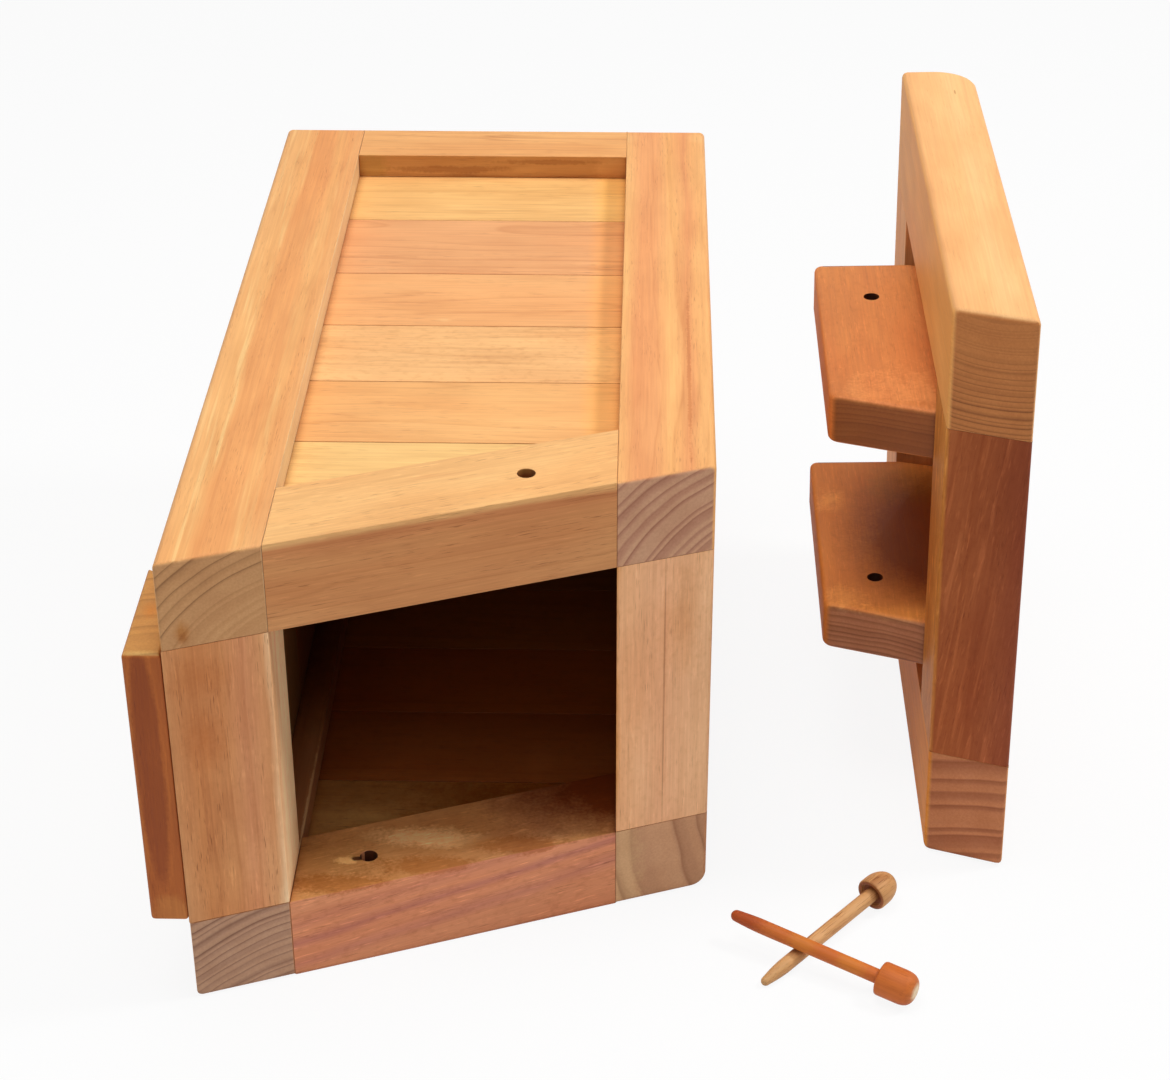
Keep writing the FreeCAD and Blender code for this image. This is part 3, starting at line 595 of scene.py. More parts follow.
LOOKS = {
    "back_right_post": dict(
        grain=Y, pith=(35, 0, -50), ring=4.6, ring_depth=0.2, ring_from=56.0, wave=7.0,
        end=rgb(201, 146, 94), end_tint=(0.36, 0.3, 0.26), end_pale=(1.06, 1.1, 1.16), lines=0.3,
        streak=1.0, streak_tint=(1.06, 1.28, 1.45),
        bands=[(-18.5, rgb(233, 171, 107), 0.3), (-12, rgb(235, 174, 108), 1.0),
               (-6.5, rgb(233, 171, 105), 1.0), (-4, rgb(229, 158, 94), 0.1), (5, rgb(230, 159, 95), 0.1),
               (9, rgb(234, 172, 106), 0.9), (13, rgb(230, 162, 98), 0.4), (18.5, rgb(233, 172, 110), 0.3)],
        # painted light: the +X face paler and greyer, as lit by the key lamp
        faces=[(X, (1.08, 1.6, 2.4))],
        spots=[((-146.9, -192.4, 169.4), (3.4, 6, 6.4), (0.86, 0.68, 0.4), 0.5, 0.2),
               ((-146.7, -192.4, 167.2), (1.9, 6, 2.6), (0.82, 0.7, 0.56), 0.4, 0.2)]),
    "front_right_post": dict(
        grain=Y, pith=(40, 0, -50), ring=4.6, ring_depth=0.5, wave=11.0, end=rgb(194, 139, 108),
        end_tint=(0.62, 0.5, 0.47), end_pale=(1.18, 1.34, 1.32), tone=(0.98, 0.92, 0.9), lines=0.45,
        bands=[(-18.5, rgb(238, 180, 112), 0.2), (-12, rgb(230, 159, 101), 0.6),
               (-4, rgb(232, 163, 104), 0.4), (2, rgb(239, 178, 110), 0.2), (9, rgb(226, 153, 96), 1.0),
               (13, rgb(236, 173, 107), 0.5), (18.5, rgb(239, 180, 113), 0.2)],
        spots=[((8.7, 190.3, 200), (6, 6, 3), (1.03, 1.1, 1.16), 0.8),
               ((41.1, 190.9, 200), (6, 6, 3), (1.03, 1.1, 1.16), 0.8),
               ((35.6, -45, 200), (0.9, 75, 3), (0.84, 0.74, 0.66), 1.2)]),
    "back_left_post": dict(
        grain=Y, pith=(40, 0, -105), ring=3.4, wave=6.0, end=rgb(186, 142, 113),
        end_tint=(0.46, 0.37, 0.35), end_pale=(1.14, 1.18, 1.16), bands=one(208, 148, 98),
        # painted shade on the post's top face deep in the chamber, and a painted highlight along its inner
        # edge
        spots=[((-136, 4, 37), (36, 84, 9), (0.4, 0.3, 0.26), 0.3, 0.3),
               ((-117.7, -118, 37), (1.2, 48, 1.2), (1.6, 2.3, 2.8), 0.6)]),
    "front_left_post": dict(
        grain=Y, pith=(90, 0, 20), ring=11.0, wave=12.0, end=rgb(205, 152, 112), end_ring=1.0, mottle=0.2,
        bands=one(212, 150, 98),
        spots=[((10, -136, 18), (12, 14, 40), (1.1, 1.24, 1.2), 0.8)]),
    "right_top_rail": dict(
        grain=SLANT, pith=(0, 0, 70), ring=6.0, wave=6.0, across=Z, lines=0.5, fleck=0.4, pores=0.7,
        bands=[(-18.5, rgb(213, 149, 93), 0.6), (8, rgb(212, 145, 88), 0.6), (15, rgb(209, 136, 82), 0.9),
               (17.8, rgb(236, 182, 117), 0.3), (18.5, rgb(236, 182, 117), 0.3)],
        bores=[(-25.4, -128.4, LIT_BORE_SHADE)]),
    "left_top_rail": dict(
        grain=(1, FALL, 0.09), pith=(0, 0, -90), ring=9.0, ring_depth=0.35, wave=18.0, fleck=0.9,
        pores=0.6, mottle=0.4, lines=0.15, across=(-0.15, 0, 0.99),
        bands=[(-29, rgb(224, 148, 104), 0.4), (-9, rgb(226, 150, 106), 0.4),
               (-5, rgb(210, 134, 104), 0.6), (-1, rgb(228, 150, 107), 0.3), (2, rgb(226, 148, 106), 0.4),
               (5, rgb(201, 125, 102), 0.6), (9, rgb(231, 154, 110), 0.3), (14, rgb(218, 142, 107), 0.5),
               (19, rgb(228, 152, 108), 0.3), (29, rgb(227, 150, 106), 0.3)],
        faces=[(Z, (0.95, 1.12, 0.82))],
        spots=[((-67, -140, 37), (27, 8, 3), (1.6, 2.1, 2.7), 0.9, 0.3),
               ((-112, -156, 37), (30, 24, 3), (0.8, 0.78, 0.7), 1.0, 0.3),
               ((-100, -170, 37), (24, 7, 3), (0.8, 0.66, 0.5), 1.0),
               ((-65, -157.5, 37), (24, 7, 3), (0.8, 0.66, 0.5), 1.0),
               ((-30, -144, 37), (24, 7, 3), (0.8, 0.66, 0.5), 1.0),
               # painted shadow of the post beside it across the right end of the top face
               ((20, -102, 37), (82, 44, 3), (0.3, 0.13, 0.05), 0.35, 0.4),
               ((-98.5, -155.4, 37), (5.2, 2.7, 2), (1.7, 2.1, 2.4), 1.0),
               # painted shade in the mouth of the torn hole
               ((-94.4, -154.1, 37), (2.6, 1.5, 2), (0.12, 0.08, 0.06), 0.8)],
        bores=[(-88.8, -152.9, DEEP_BORE_SHADE)]),
    "back_top_rail": dict(
        grain=Z, pith=(-30, -70, 0), ring=9.0, wave=12.0, fleck=0.5, lines=0.6, pores=0.9, mottle=0.2,
        bands=[(-18.5, rgb(220, 156, 102), 0.4), (-9, rgb(212, 140, 82), 0.8),
               (1, rgb(217, 148, 92), 0.8), (8, rgb(223, 153, 104), 0.5), (15, rgb(226, 162, 108), 0.4),
               (18.5, rgb(254, 216, 168), 0.2)],
        faces=[(X, (1.14, 1.14, 1.12))],
        spots=[((-142.6, -191, 121), (9, 20, 17), (0.9, 0.78, 0.64), 0.7, 0.1),
               ((-142, -191, 149), (15, 20, 11), (0.92, 0.83, 0.72), 0.7, 0.1),
               ((-135, -188, 56), (15, 20, 26), (1.08, 1.14, 1.18), 0.7, 0.1)]),
    "front_top_rail": dict(
        grain=Z, pith=(75, 10, 0), ring=6.0, ring_depth=0.3, wave=7.0, pores=0.5, lines=0.35, fleck=0.4,
        mottle=0.25,
        bands=[(-18.5, rgb(226, 150, 80), 0.2), (-16, rgb(246, 184, 132), 0.5),
               (0, rgb(248, 186, 138), 0.6), (18.5, rgb(246, 190, 140), 0.6)],
        spots=[((26.8, -128, 100), (0.45, 6, 80), (0.72, 0.62, 0.55), 0.2),
               ((33, -126, 133), (11, 20, 30), (0.9, 0.82, 0.72), 0.7, 0.1),
               ((15, -133, 62), (12, 20, 44), (1.05, 1.12, 1.16), 0.7, 0.1)]),
    "right_bottom_rail": dict(
        grain=X, pith=(0, 60, -40), ring=4.0, ring_depth=0.8, lines=1.0, bands=one(235, 173, 107),
        tone=(0.94, 0.86, 0.8),
        # painted shade on the face towards the front, the far wall of the recess
        faces=[((0, -1, 0), (0.74, 0.73, 0.62))],
        spots=[((-75, 167.7, 193), (32, 3, 2.2), (0.78, 0.7, 0.66), 0.8),
               ((-28, 167.7, 197), (28, 3, 1.6), (0.78, 0.7, 0.66), 0.8),
               ((3, 167.7, 194), (12, 3, 8), (1.15, 1.22, 1.3), 0.6),
               ((-112, 167.7, 194), (9, 3, 8), (0.86, 0.92, 0.8), 0.5)]),
    "hanging_batten": dict(
        grain=Z, pith=(10, -90, 0), ring=8.0, wave=8.0, end=rgb(209, 147, 76), end_ring=0.8,
        bands=one(184, 99, 38), fleck=0.4,
        spots=[((-163, -195.3, 112), (6.6, 1.2, 69), (1.12, 1.18, 1.22), 0.16, 0.9),
               ((-163.2, -195.3, 112), (5.9, 1.2, 66), (0.68, 0.55, 0.48), 0.2, 0.75),
               ((-161, -195.3, 43), (9, 20, 10), (1.2, 1.55, 2.1), 0.4),
               ((-162, -194.2, 161.5), (9, 2.4, 2), (1.2, 1.5, 1.8), 0.5, 0.3),
               ((-163, -166, 161.5), (4, 7, 3), (1.05, 0.86, 0.6), 0.5, 0.2)]),
    "roof_right_stile": dict(
        grain=Y, pith=(0, 0, 68), ring=2.3, wave=3.0, ring_depth=0.2, ring_from=58.0,
        end=rgb(190, 119, 62), lines=0.3, end_tint=(0.42, 0.34, 0.28), pores=0.2, tone=(0.99, 0.93, 0.88),
        bands=[(-16, rgb(234, 172, 110), 0.3), (-4, rgb(238, 181, 118), 0.1),
               (2, rgb(240, 188, 126), 0.1), (16, rgb(235, 174, 112), 0.3)],
        faces=[((-1, 0, 0), (1.13, 1.15, 0.92))],
        spots=[((152.9, 115, 254.4), (0.5, 3, 2), (0.66, 0.55, 0.45), 0.4)]),
    "roof_left_stile": dict(
        grain=Y, pith=(25, 0, -100), ring=7.5, wave=5.0, end=rgb(181, 113, 78), end_tint=(0.7, 0.62, 0.6),
        gloss=0.08, end_pale=(1.3, 1.42, 1.34), bands=one(222, 156, 100),
        faces=[((-1, 0, 0), (1.15, 0.95, 0.32))]),
    "roof_rear_rail": dict(
        grain=(0.13, 0, 1), pith=(20, -70, 0), ring=9.0, wave=12.0, fleck=0.5, streak=1.0, mottle=0.3,
        gloss=0.15, streak_tint=(1.45, 1.65, 1.85), fleck_tint=(1.45, 1.62, 1.8), tone=(0.88, 0.78, 0.74),
        bands=[(-16, rgb(163, 88, 46), 0.7), (-4, rgb(157, 82, 42), 0.6), (6, rgb(150, 76, 40), 0.6),
               (16, rgb(140, 67, 38), 0.3)],
        faces=[((-1, 0, 0), (1.66, 2.5, 2.0))],
        spots=[((152, -100, 70), (40, 60, 96), (1.22, 1.34, 1.4), 0.3, 0.3),
               ((133, -100, 210), (12, 60, 56), (1.18, 1.26, 1.32), 0.3, 0.2)]),
    "roof_front_rail": dict(
        grain=Z, pith=(60, 20, 0), ring=8.0, wave=6.0, bands=one(228, 164, 104),
        faces=[((-1, 0, 0), (1.3, 1.42, 1.3))],
        # painted shade on the inner face between the battens
        spots=[((140, 92, 127), (20, 60, 50), (0.34, 0.28, 0.23), 0.1)]),
    "roof_right_batten": dict(
        grain=Y, pith=(6, 0, -240), ring=2.6, wave=6.0, bands=one(232, 146, 78, 0.3),
        end=rgb(149, 86, 42), end_ring=0.55, end_tint=(0.5, 0.42, 0.38), end_pale=(1.14, 1.18, 1.2),
        ring_depth=0.3, fleck=0.45, pores=0.4, tone=(0.97, 0.87, 0.82), mottle=0.25,
        spots=[((121, -38, 187.7), (30, 20, 4), (1.14, 1.26, 1.4), 2.2, 0.1)],
        bores=[(115.4, 47.4, DEEP_BORE_SHADE)]),
    "roof_left_batten": dict(
        grain=Y, pith=(-6, 0, -240), ring=3.2, wave=7.0, bands=one(222, 138, 66, 0.3),
        end=rgb(170, 110, 74), fleck=0.5, end_ring=1.0, end_tint=(0.52, 0.44, 0.4),
        end_pale=(1.2, 1.25, 1.3), ring_depth=0.3, pores=0.3, mottle=0.15,
        spots=[((102, 44, 87.2), (8, 11, 4), (1.24, 1.45, 1.6), 1.4, 0.2),
               ((104, -37, 87.3), (11, 13, 4), (1.22, 1.42, 1.5), 1.4, 0.2),
               ((126, -49, 87.5), (30, 8, 4), (1.2, 1.34, 1.3), 1.0, 0.3),
               # painted shadow of the upper batten and the roof on the inner part of the top face, less red
               # in its far part
               ((150, 12, 88), (50, 64, 30), (0.44, 0.34, 0.22), 0.2),
               ((146, 58, 88), (30, 26, 8), (1.06, 1.5, 1.6), 0.4, 0.2)],
        bores=[(117.7, -20.8, DEEP_BORE_SHADE)]),
}

# Boards: those of the right side get a painted warm tint in the shadow that the stile beside them casts, and
# are dark at the nearer joints
PLANKS = [
    (239, 188, 118), (230, 165, 110), (236, 173, 112), (238, 182, 120), (236, 176, 110), (241, 195, 124),
]
PLANK_MARKS = {
    2: dict(lines=0.5, ring=2.4),
    3: dict(spots=[((-67.2, 18.6, 189), (4, 2, 2), (1.05, 1.14, 1.2), 0.8)]),
    4: dict(mottle=0.35),
    5: dict(ring_depth=0.5, ring=6.0, wave=16.0),
}
PLANK_FACE = 189.0
PLANK_MIDDLE = -54.0
SHADED_EDGE = 8.8
SHADOW_WARMTH = ((17, 200, 3), (1.1, 1.03, 0.8), 0.15, 0.6)
DARK_JOINT = ((120, 0.7, 3), (0.76, 0.66, 0.56), 0.15, 0.3)
DARK_JOINTS_FROM = 4
RAW_MARKS = {
    "left_board_6": dict(bands=one(214, 162, 94), mottle=0.5, pores=0.9,
                         spots=[((10, -110, 25), (95, 60, 8), (0.75, 0.5, 0.2), 0.3),
                                ((-60, -93, 25), (95, 22, 8), (0.66, 0.52, 0.4), 0.5, 0.1)]),
    "left_board_5": dict(bands=one(184, 110, 52), mottle=0.4),
    "left_board_4": dict(bands=one(202, 124, 62), mottle=0.4),
    "left_board_3": dict(bands=one(208, 140, 84), mottle=0.4),
}
UPRIGHT = dict(grain=Z, pith=(40, 50, 0))
# Roof boards' inner faces: a warmer tone, and painted shade on them between the battens
ROOF_INNER = dict(faces=[((-1, 0, 0), (1.05, 1.0, 0.64))],
                  spots=[((151, 0, 127), (11, 130, 48), (0.4, 0.33, 0.27), 0.2)])
# painted shade on the back boards' faces inside the chamber
BACK_INNER_SHADE = dict(faces=[(X, (0.38, 0.31, 0.27))])


def plank_look(name):
    number = int(name[-1])
    marks = PLANK_MARKS.get(number, {})
    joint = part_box(name)[1].y / MM
    # painted warm tint in the stile's shadow along the board's edge
    spots = [((SHADED_EDGE, joint, PLANK_FACE), *SHADOW_WARMTH)]
    if number >= DARK_JOINTS_FROM:
        spots.append(((PLANK_MIDDLE, joint, PLANK_FACE), *DARK_JOINT))
    look = dict(grain=X, pith=(0, 25, -70), ring=3.8, wave=8.0, ring_depth=0.6, lines=0.55, pores=0.4,
                tone=(1, 0.95, 0.92), bands=one(*PLANKS[number - 1]))
    return {**look, **marks, "spots": spots + marks.get("spots", [])}


def look_of(name):
    """The wood of one piece: a look of its own, or its group's."""
    if name in LOOKS:
        return LOOKS[name]
    if name.startswith("right_board"):
        return plank_look(name)
    if name.startswith("left_b"):
        return {**dict(grain=X, pith=(0, 20, -70), bands=one(206, 146, 92)), **RAW_MARKS.get(name, {})}
    if "board" not in name:
        return UPRIGHT
    look = {**UPRIGHT, "bands": one(*PLANKS[int(name[-1]) % len(PLANKS)])}
    if name.startswith("roof"):
        return {**look, **ROOF_INNER}
    return {**look, **BACK_INNER_SHADE} if name.startswith("back") else look


# Edges are eased by hand: hairlines on the boards, soft on the frame, softest on the roof
BOARD_EASE = (PLAIN_EASE, 0.4 * MM)
RAW_EASE = (PLAIN_EASE, 0.12 * MM)
BATTEN_EASE = (PLAIN_EASE, 1.6 * MM)
FRAME_EASE = (BOX_EASE, 1.6 * MM)
LID_EASE = (ROOF_EASE, 2.4 * MM)


def easing_of(name):
    if "board" in name:
        return RAW_EASE if name.startswith("left") else BOARD_EASE
    if name == "hanging_batten":
        return BATTEN_EASE
    return LID_EASE if name.startswith("roof") else FRAME_EASE


# Each roof batten's height above the roof's left edge, and its peg hole's place along the slope
SOFT_BATTENS = {"roof_right_batten": (0.166, 0.129), "roof_left_batten": (0.066, 0.065)}
for index, name in enumerate(sorted(nodes)):
    if "peg" in name:
        continue
    node = nodes[name]
    node.data.materials.clear()
    if name.endswith("screws"):
        node.data.materials.append(steel("steel_" + name))
        continue
    look = {**PLAIN, **look_of(name)}
    in_box = not name.startswith("roof") and name != "hanging_batten"
    node.data.materials.append(teak("teak_" + name, look, middle_of(name), index, in_box))
    if name not in SOFT_BATTENS:
        ease(node, *easing_of(name))

# The roof's battens, rounded by hand at the tip and along every edge, each with its peg hole
STRETCH = math.hypot(1.0, FALL)
BATTEN_PLAY = 0.001
BATTEN_PROUD = 0.041
BATTEN_SUNK = 0.0175
BATTEN_FLARE = 0.0043
BATTEN_THICK = 0.022
BATTEN_SOFT = 0.0022
BATTEN_CORNER = 0.0026
BATTEN_FAR_TIP = 0.0036
BATTEN_NEAR_TIP = 0.0055
BATTEN_HOLE = 0.0034
BATTEN_HOLE_DEEP = 0.018
CORNER_STEPS = 6
EDGE_STEPS = 4
HOLE_SIDES = 32
SHARP = math.radians(50)


def new_piece(name, points, faces):
    """A smooth mesh object that keeps its sharp edges."""
    mesh = bpy.data.meshes.new(name)
    mesh.from_pydata(points, [], faces)
    mesh.validate()
    mesh.shade_smooth()
    mesh.set_sharp_from_angle(angle=SHARP)
    piece = bpy.data.objects.new(name, mesh)
    scene.collection.objects.link(piece)
    return piece


def rounded_outline(corners):
    """Points and outward normals round a convex outline of (x, y, radius) corners, anticlockwise."""
    points, normals = [], []
    for index, (x, y, radius) in enumerate(corners):
        here = Vector((x, y))
        back = (Vector(corners[index - 1][:2]) - here).normalized()
        ahead = (Vector(corners[(index + 1) % len(corners)][:2]) - here).normalized()
        half = back.angle(ahead) / 2
        centre = here + (back + ahead).normalized() * radius / math.sin(half)
        first = (here + back * radius / math.tan(half) - centre).normalized()
        sweep = math.pi - 2 * half
        for step in range(CORNER_STEPS + 1):
            normal = Matrix.Rotation(sweep * step / CORNER_STEPS, 2) @ first
            points.append(centre + normal * radius)
            normals.append(normal)
    return points, normals


def cap_faces(solid, outer, inner, upward):
    """A flat face between an outline and the hole in it, as triangles that face up or down."""
    faces = []
    both = [*outer, *inner]
    for corner in tessellate_polygon([[Vector(solid[index]) for index in loop] for loop in (outer, inner)]):
        a, b, c = (Vector(solid[both[index]]) for index in corner)
        facing_up = (b - a).cross(c - a).z > 0
        face = tuple(both[index] for index in corner)
        faces.append(face if facing_up == upward else face[::-1])
    return faces


def soft_bar(name, corners, low, high, hole):
    """A bar of one outline between two heights, its edges rounded all round, with a hole through it."""
    points, normals = rounded_outline(corners)
    around = len(points)
    levels = []
    for step in range(EDGE_STEPS + 1):
        angle = math.pi / 2 * step / EDGE_STEPS
        levels.append((low + BATTEN_SOFT * (1 - math.cos(angle)), BATTEN_SOFT * (1 - math.sin(angle))))
    levels += [(low + high - level, inset) for level, inset in reversed(levels)]
    solid, faces = [], []
    for level, inset in levels:
        solid += [(*(point - normal * inset), level) for point, normal in zip(points, normals)]
    last = (len(levels) - 1) * around
    for first in range(0, last, around):
        second = first + around
        for step in range(around):
            after = (step + 1) % around
            faces.append((first + step, first + after, second + after, second + step))
    low_rim = len(solid)
    high_rim = low_rim + HOLE_SIDES
    for level in (low, high):
        for step in range(HOLE_SIDES):
            angle = 2 * math.pi * step / HOLE_SIDES
            across, along = BATTEN_HOLE * math.cos(angle), BATTEN_HOLE * math.sin(angle)
            solid.append((hole[0] + across, hole[1] + along, level))
    for step in range(HOLE_SIDES):
        after = (step + 1) % HOLE_SIDES
        faces.append((low_rim + after, low_rim + step, high_rim + step, high_rim + after))
    for start, rim, upward in ((0, low_rim, False), (last, high_rim, True)):
        faces += cap_faces(solid, range(start, start + around), range(rim, rim + HOLE_SIDES), upward)
    return new_piece(name, [on_roof(point) for point in solid], faces)


batten_near = ROOF_REAR_Y + POST * STRETCH + BATTEN_PLAY
batten_far = ROOF_REAR_Y + (BOX_SIDE - POST) * STRETCH - BATTEN_PLAY
BATTEN_OUTLINE = [
    (BATTEN_SUNK, batten_near, BATTEN_CORNER), (BATTEN_SUNK, batten_far, BATTEN_CORNER),
    (0.0, batten_far, BATTEN_CORNER), (-BATTEN_PROUD, batten_far + BATTEN_FLARE, BATTEN_FAR_TIP),
    (-BATTEN_PROUD, batten_near + BATTEN_PROUD * FALL, BATTEN_NEAR_TIP), (0.0, batten_near, BATTEN_CORNER),
]
for name, (level, hole_at) in SOFT_BATTENS.items():
    hole_y = ROOF_REAR_Y + hole_at * STRETCH + BATTEN_HOLE_DEEP * FALL
    piece = soft_bar(name + "_soft", BATTEN_OUTLINE, level, level + BATTEN_THICK, (-BATTEN_HOLE_DEEP, hole_y))
    piece.data.materials.append(nodes[name].data.materials[0])
    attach(piece, "roof")
    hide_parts(name)

# Turned pegs: a tapered shank in a domed head with a cup round its neck, in millimetres from the neck
LATHE_SIDES = 48
LATHE_STEPS = 14
TIP_STEPS = 5
UNEVEN = 0.012
UNEVEN_ROUND = 0.8
UNEVEN_ALONG = 0.12
UNEVEN_SEED = 7.3
SAME_PLACE = 7
SHANK = 3.0
SHANK_LONG = 66.0
SHANK_TAPER = 14.0
SHANK_SUNK = 1.0
HEAD = 7.0
HEAD_RIM = [(0.0, 0.9), (0.25, 0.3), (0.9, 0.0)]
CUP = 5.0
CUP_DEEP = 2.5
CUP_LIP = 0.4
CUP_EASE = (0.5, 0.6)
PEGS = {
    "over": dict(
        wood=dict(bands=one(203, 110, 45, 0.3), end=rgb(203, 112, 48), ring_depth=0.3, pores=0.4, lines=0.6),
        tip=2.4, starts=0.0, ends=15.5, dome=(8.5, 2.9), cup=(0.7, 0.55, 0.5),
        crown=(1.45, 4.0, 14.0), point=(0.74, 0.5, 0.46), glow=(1.08, 1.3, 1.1), shade=(0.78, 0.62, 0.5)),
    "under": dict(
        wood=dict(bands=one(212, 163, 108, 1.0), end=rgb(212, 163, 108), ring_depth=0.8, pores=1.0,
                  lines=1.0),
        tip=1.9, starts=0.8, ends=14.4, dome=(4.5, 2.1), cup=(0.45, 0.24, 0.15),
        crown=(1.0, 1.0, 1.0), point=(0.9, 0.9, 0.9), glow=(1.06, 1.1, 1.16), shade=(0.95, 0.92, 0.9)),
}
PEG_GRAIN = dict(pith=(0, 0, 9), ring=2.2, wave=3.0, end_ring=0.5)

# Tinted spots on a peg: worn places along the shank, its point, the crown, and painted shade on the lower
# side of the head
GLOW_AT = (12, 34)
GLOW_SIZE = (8, 8, 8)
GLOW_FRAY = 0.6
POINT_SIZE = (17, 17, 17)
POINT_FRAY = 0.3
CROWN_SIZE = (4.4, 4.4, 4.4)
CROWN_FRAY = 0.3
SHADE_BACK = 5.0
SHADE_SHIFT = Vector((0.0, -4.0, -4.5))
SHADE_SIZE = (8, 8, 5)
SHADE_FRAY = 0.5
SHADE_CORE = 0.1


def lathe(name, origin, axis, profile, seed):
    """A turned solid: a profile of (along, radius) in millimetres swept round an axis, uneven as by hand."""
    side = axis.orthogonal().normalized()
    other = axis.cross(side)
    points = [origin + axis * profile[0][0] * MM]
    for at, radius in profile[1:-1]:
        for step in range(LATHE_SIDES):
            angle = 2 * math.pi * step / LATHE_SIDES
            out = side * math.cos(angle) + other * math.sin(angle)
            place = out * UNEVEN_ROUND + Vector((at * UNEVEN_ALONG, seed * UNEVEN_SEED, 0.0))
            bumpy = smooth_noise.noise(place)
            points.append(origin + axis * at * MM + out * radius * (1.0 - UNEVEN * (1.0 + bumpy)) * MM)
    points.append(origin + axis * profile[-1][0] * MM)
    last_ring = len(points) - 1 - LATHE_SIDES
    faces = []
    for step in range(LATHE_SIDES):
        after = (step + 1) % LATHE_SIDES
        faces.append((0, 1 + after, 1 + step))
        for first in range(1, last_ring, LATHE_SIDES):
            second = first + LATHE_SIDES
            faces.append((first + step, first + after, second + after, second + step))
        faces.append((last_ring + step, last_ring + after, len(points) - 1))
    return new_piece(name, points, faces)


def shank_profile(point):
    """A rounded point, a taper that swells to the full shank, and the shank on into the head."""
    profile = [(-SHANK_LONG, 0.0)]
    for step in range(1, TIP_STEPS + 1):
        turn = math.pi / 2 * step / TIP_STEPS
        profile.append((-SHANK_LONG + point * (1 - math.cos(turn)), point * math.sin(turn)))
    for step in range(1, LATHE_STEPS):
        share = step / LATHE_STEPS
        swell = point + (SHANK - point) * math.sin(share * math.pi / 2)
        profile.append((-SHANK_LONG + point + (SHANK_TAPER - point) * share, swell))
    inside = CUP_DEEP + SHANK_SUNK
    straight = SHANK_LONG - SHANK_TAPER + inside
    for step in range(LATHE_STEPS + 1):
        profile.append((-SHANK_LONG + SHANK_TAPER + straight * step / LATHE_STEPS, SHANK))
    return profile + [(inside, 0.0)]


def head_profile(starts, ends, dome_from, power):
    """The cup round the neck, the rim and the dome."""
    profile = [(CUP_DEEP, 0.0), (CUP_DEEP, CUP - CUP_EASE[1]), (CUP_DEEP - CUP_EASE[0], CUP),
               (starts + CUP_LIP, CUP), (starts, CUP + CUP_LIP)]
    profile += [(starts + along, HEAD - inward) for along, inward in HEAD_RIM]
    for step in range(LATHE_STEPS):
        share = math.sin(step / LATHE_STEPS * math.pi / 2)
        radius = HEAD * (1.0 - share ** power) ** (1.0 / power)
        profile.append((dome_from + (ends - dome_from) * share, radius))
    return profile + [(ends, 0.0)]


def points_of(name):
    """Each place that has a vertex once, so that the rings of a turned piece are even."""
    return np.unique(np.array([vertex.co for vertex in nodes[name].data.vertices]).round(SAME_PLACE), axis=0)


def peg_line(peg):
    """The middle of a peg's neck, and its axis towards the head."""
    shank_points, head_points = points_of(peg + "_peg_shank"), points_of(peg + "_peg_head")
    through = Vector(shank_points.mean(0))
    axis = Vector(np.linalg.svd(shank_points - shank_points.mean(0), full_matrices=False)[2][0])
    if axis.dot(Vector(head_points.mean(0)) - through) < 0:
        axis = -axis
    neck = min(axis.dot(Vector(point)) for point in head_points)
    return through + axis * (neck - axis.dot(through)), axis


for seed, (peg, form) in enumerate(PEGS.items()):
    origin, axis = peg_line(peg)
    crown_at = origin + axis * form["ends"] * MM
    point_at = origin - axis * SHANK_LONG * MM
    shade_at = (crown_at - axis * SHADE_BACK * MM) / MM + SHADE_SHIFT
    shank_spots = [(point_at / MM, POINT_SIZE, form["point"], POINT_FRAY)]
    for along in GLOW_AT:
        shank_spots.append(((origin - axis * along * MM) / MM, GLOW_SIZE, form["glow"], GLOW_FRAY))
    # painted shade on the lower side of the head, and the pale crown
    head_spots = [(shade_at, SHADE_SIZE, form["shade"], SHADE_FRAY, SHADE_CORE),
                  (crown_at / MM, CROWN_SIZE, form["crown"], CROWN_FRAY)]
    turned_head = head_profile(form["starts"], form["ends"], *form["dome"])
    turned = {
        "shank": (shank_profile(form["tip"]), [], shank_spots),
        "head": (turned_head, [(-axis, form["cup"])], head_spots),
    }
    for part, (profile, faces, spots) in turned.items():
        node_name = peg + "_peg_" + part
        look = {**PLAIN, **PEG_GRAIN, **form["wood"], "grain": axis, "faces": faces, "spots": spots}
        piece = lathe(node_name + "_turned", origin, axis, profile, seed)
        piece.data.materials.append(teak("teak_" + node_name, look, origin, seed, False))
        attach(piece, peg + "_peg")
        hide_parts(node_name)

# Plain pale floor and soft studio light before a white background
FLOOR_HALF = 6.0
FLOOR_LEVEL = -0.0002
FLOOR_CORNERS = [(-1, -1), (1, -1), (1, 1), (-1, 1)]
PAPER = (0.88, 0.88, 0.88)
PAPER_ROUGH = 0.9
PAPER_WHITE = 0.9
WHITE = (1.0, 1.0, 1.0)
AMBIENT = 0.24
LAMP_AIM = Vector((0.0, 0.0, 0.1))


def seen_share(net):
    """One for rays from the camera, direct or by way of gloss or glass, which see a white background."""
    paths = net.add("ShaderNodeLightPath").outputs
    seen = net.math("MAXIMUM", paths["Is Camera Ray"], paths["Is Glossy Ray"])
    return net.math("MAXIMUM", seen, paths["Is Transmission Ray"])


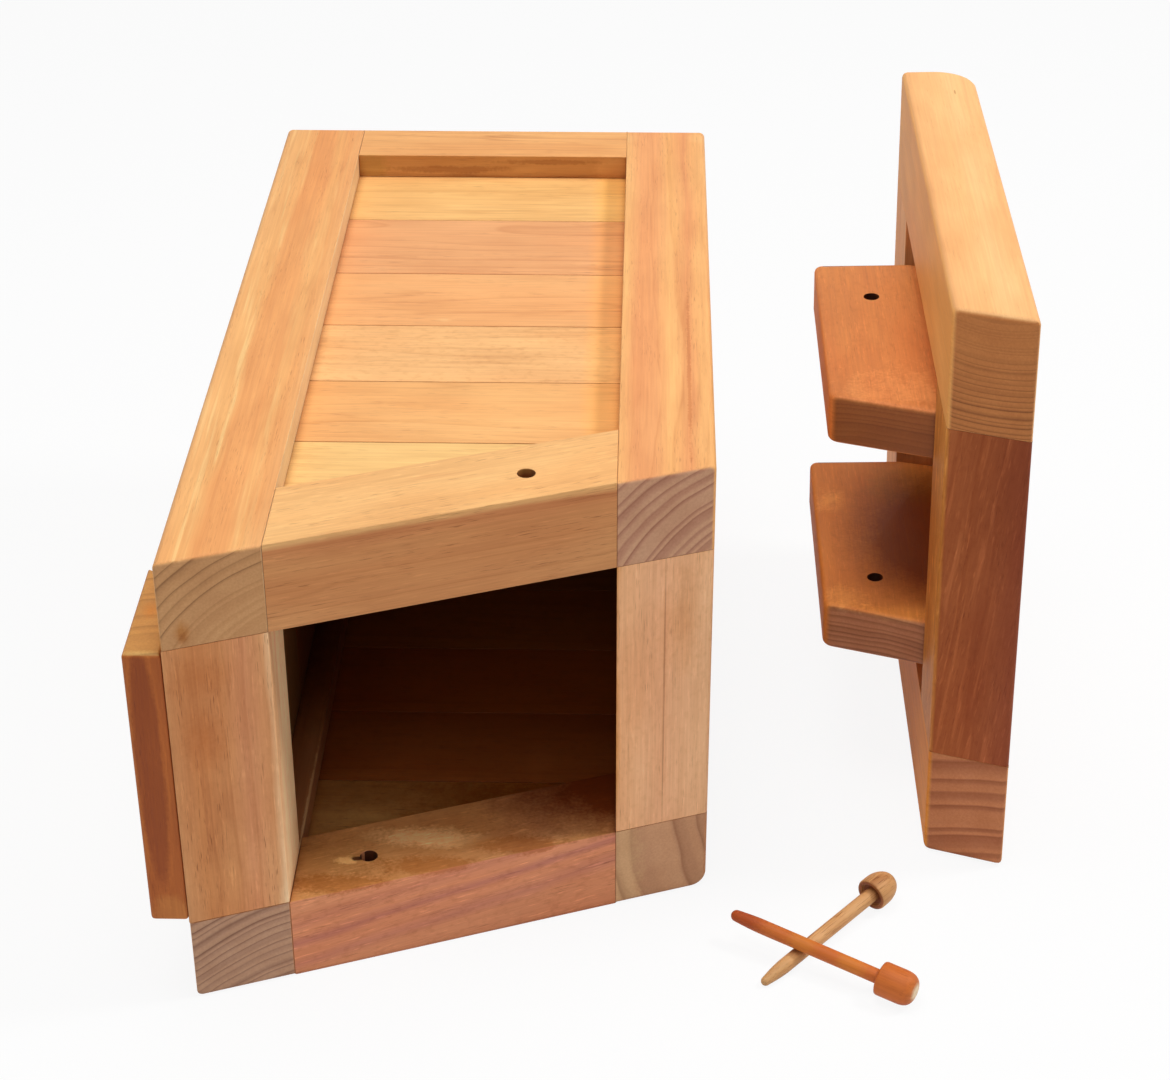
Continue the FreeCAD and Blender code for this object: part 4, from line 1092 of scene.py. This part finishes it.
floor_mesh = bpy.data.meshes.new("floor")
floor_points = [(x * FLOOR_HALF, y * FLOOR_HALF, FLOOR_LEVEL) for x, y in FLOOR_CORNERS]
floor_mesh.from_pydata(floor_points, [], [(0, 1, 2, 3)])
floor = bpy.data.objects.new("floor", floor_mesh)
scene.collection.objects.link(floor)
paper, net, shader = new_material("paper")
net.put(shader.inputs["Base Color"], PAPER)
net.put(shader.inputs["Roughness"], PAPER_ROUGH)
white = net.add("ShaderNodeEmission", {"Color": WHITE, "Strength": 1.0})
share = net.math("MULTIPLY", seen_share(net), PAPER_WHITE)
blend = net.add("ShaderNodeMixShader", {0: share, 1: shader.outputs[0], 2: white.outputs[0]})
net.put(paper.node_tree.nodes["Material Output"].inputs["Surface"], blend.outputs[0])
floor_mesh.materials.append(paper)

world = bpy.data.worlds.new("studio")
scene.world = world
world.use_nodes = True
net = Net(world.node_tree)
background = world.node_tree.nodes["Background"]
net.put(background.inputs["Color"], WHITE)
net.put(background.inputs["Strength"], net.fit(seen_share(net), 0.0, 1.0, AMBIENT, 1.0))


def softbox(name, at, size, power):
    lamp = bpy.data.lights.new(name, "AREA")
    lamp.shape = "DISK"
    lamp.size = size
    lamp.energy = power
    thing = bpy.data.objects.new(name, lamp)
    thing.location = at
    thing.rotation_mode = "QUATERNION"
    thing.rotation_quaternion = (LAMP_AIM - Vector(at)).to_track_quat("-Z", "Y")
    scene.collection.objects.link(thing)


softbox("top", at=(-0.15, -0.05, 1.6), size=1.0, power=11.5)
softbox("key", at=(1.05, 0.1, 1.35), size=0.35, power=11.0)
softbox("front", at=(-0.2, -1.7, 1.2), size=0.9, power=5.0)

camera_data = bpy.data.cameras.new("camera")
camera_data.lens = LENS
camera_data.sensor_width = SENSOR
camera_data.sensor_fit = "HORIZONTAL"
camera_data.clip_start = CLIP_START
camera = bpy.data.objects.new("camera", camera_data)
turn = Matrix((CAMERA_RIGHT, CAMERA_UP, -CAMERA_AHEAD)).transposed()
camera.matrix_world = Matrix.Translation(CAMERA_AT) @ turn.to_4x4()
scene.collection.objects.link(camera)
scene.camera = camera
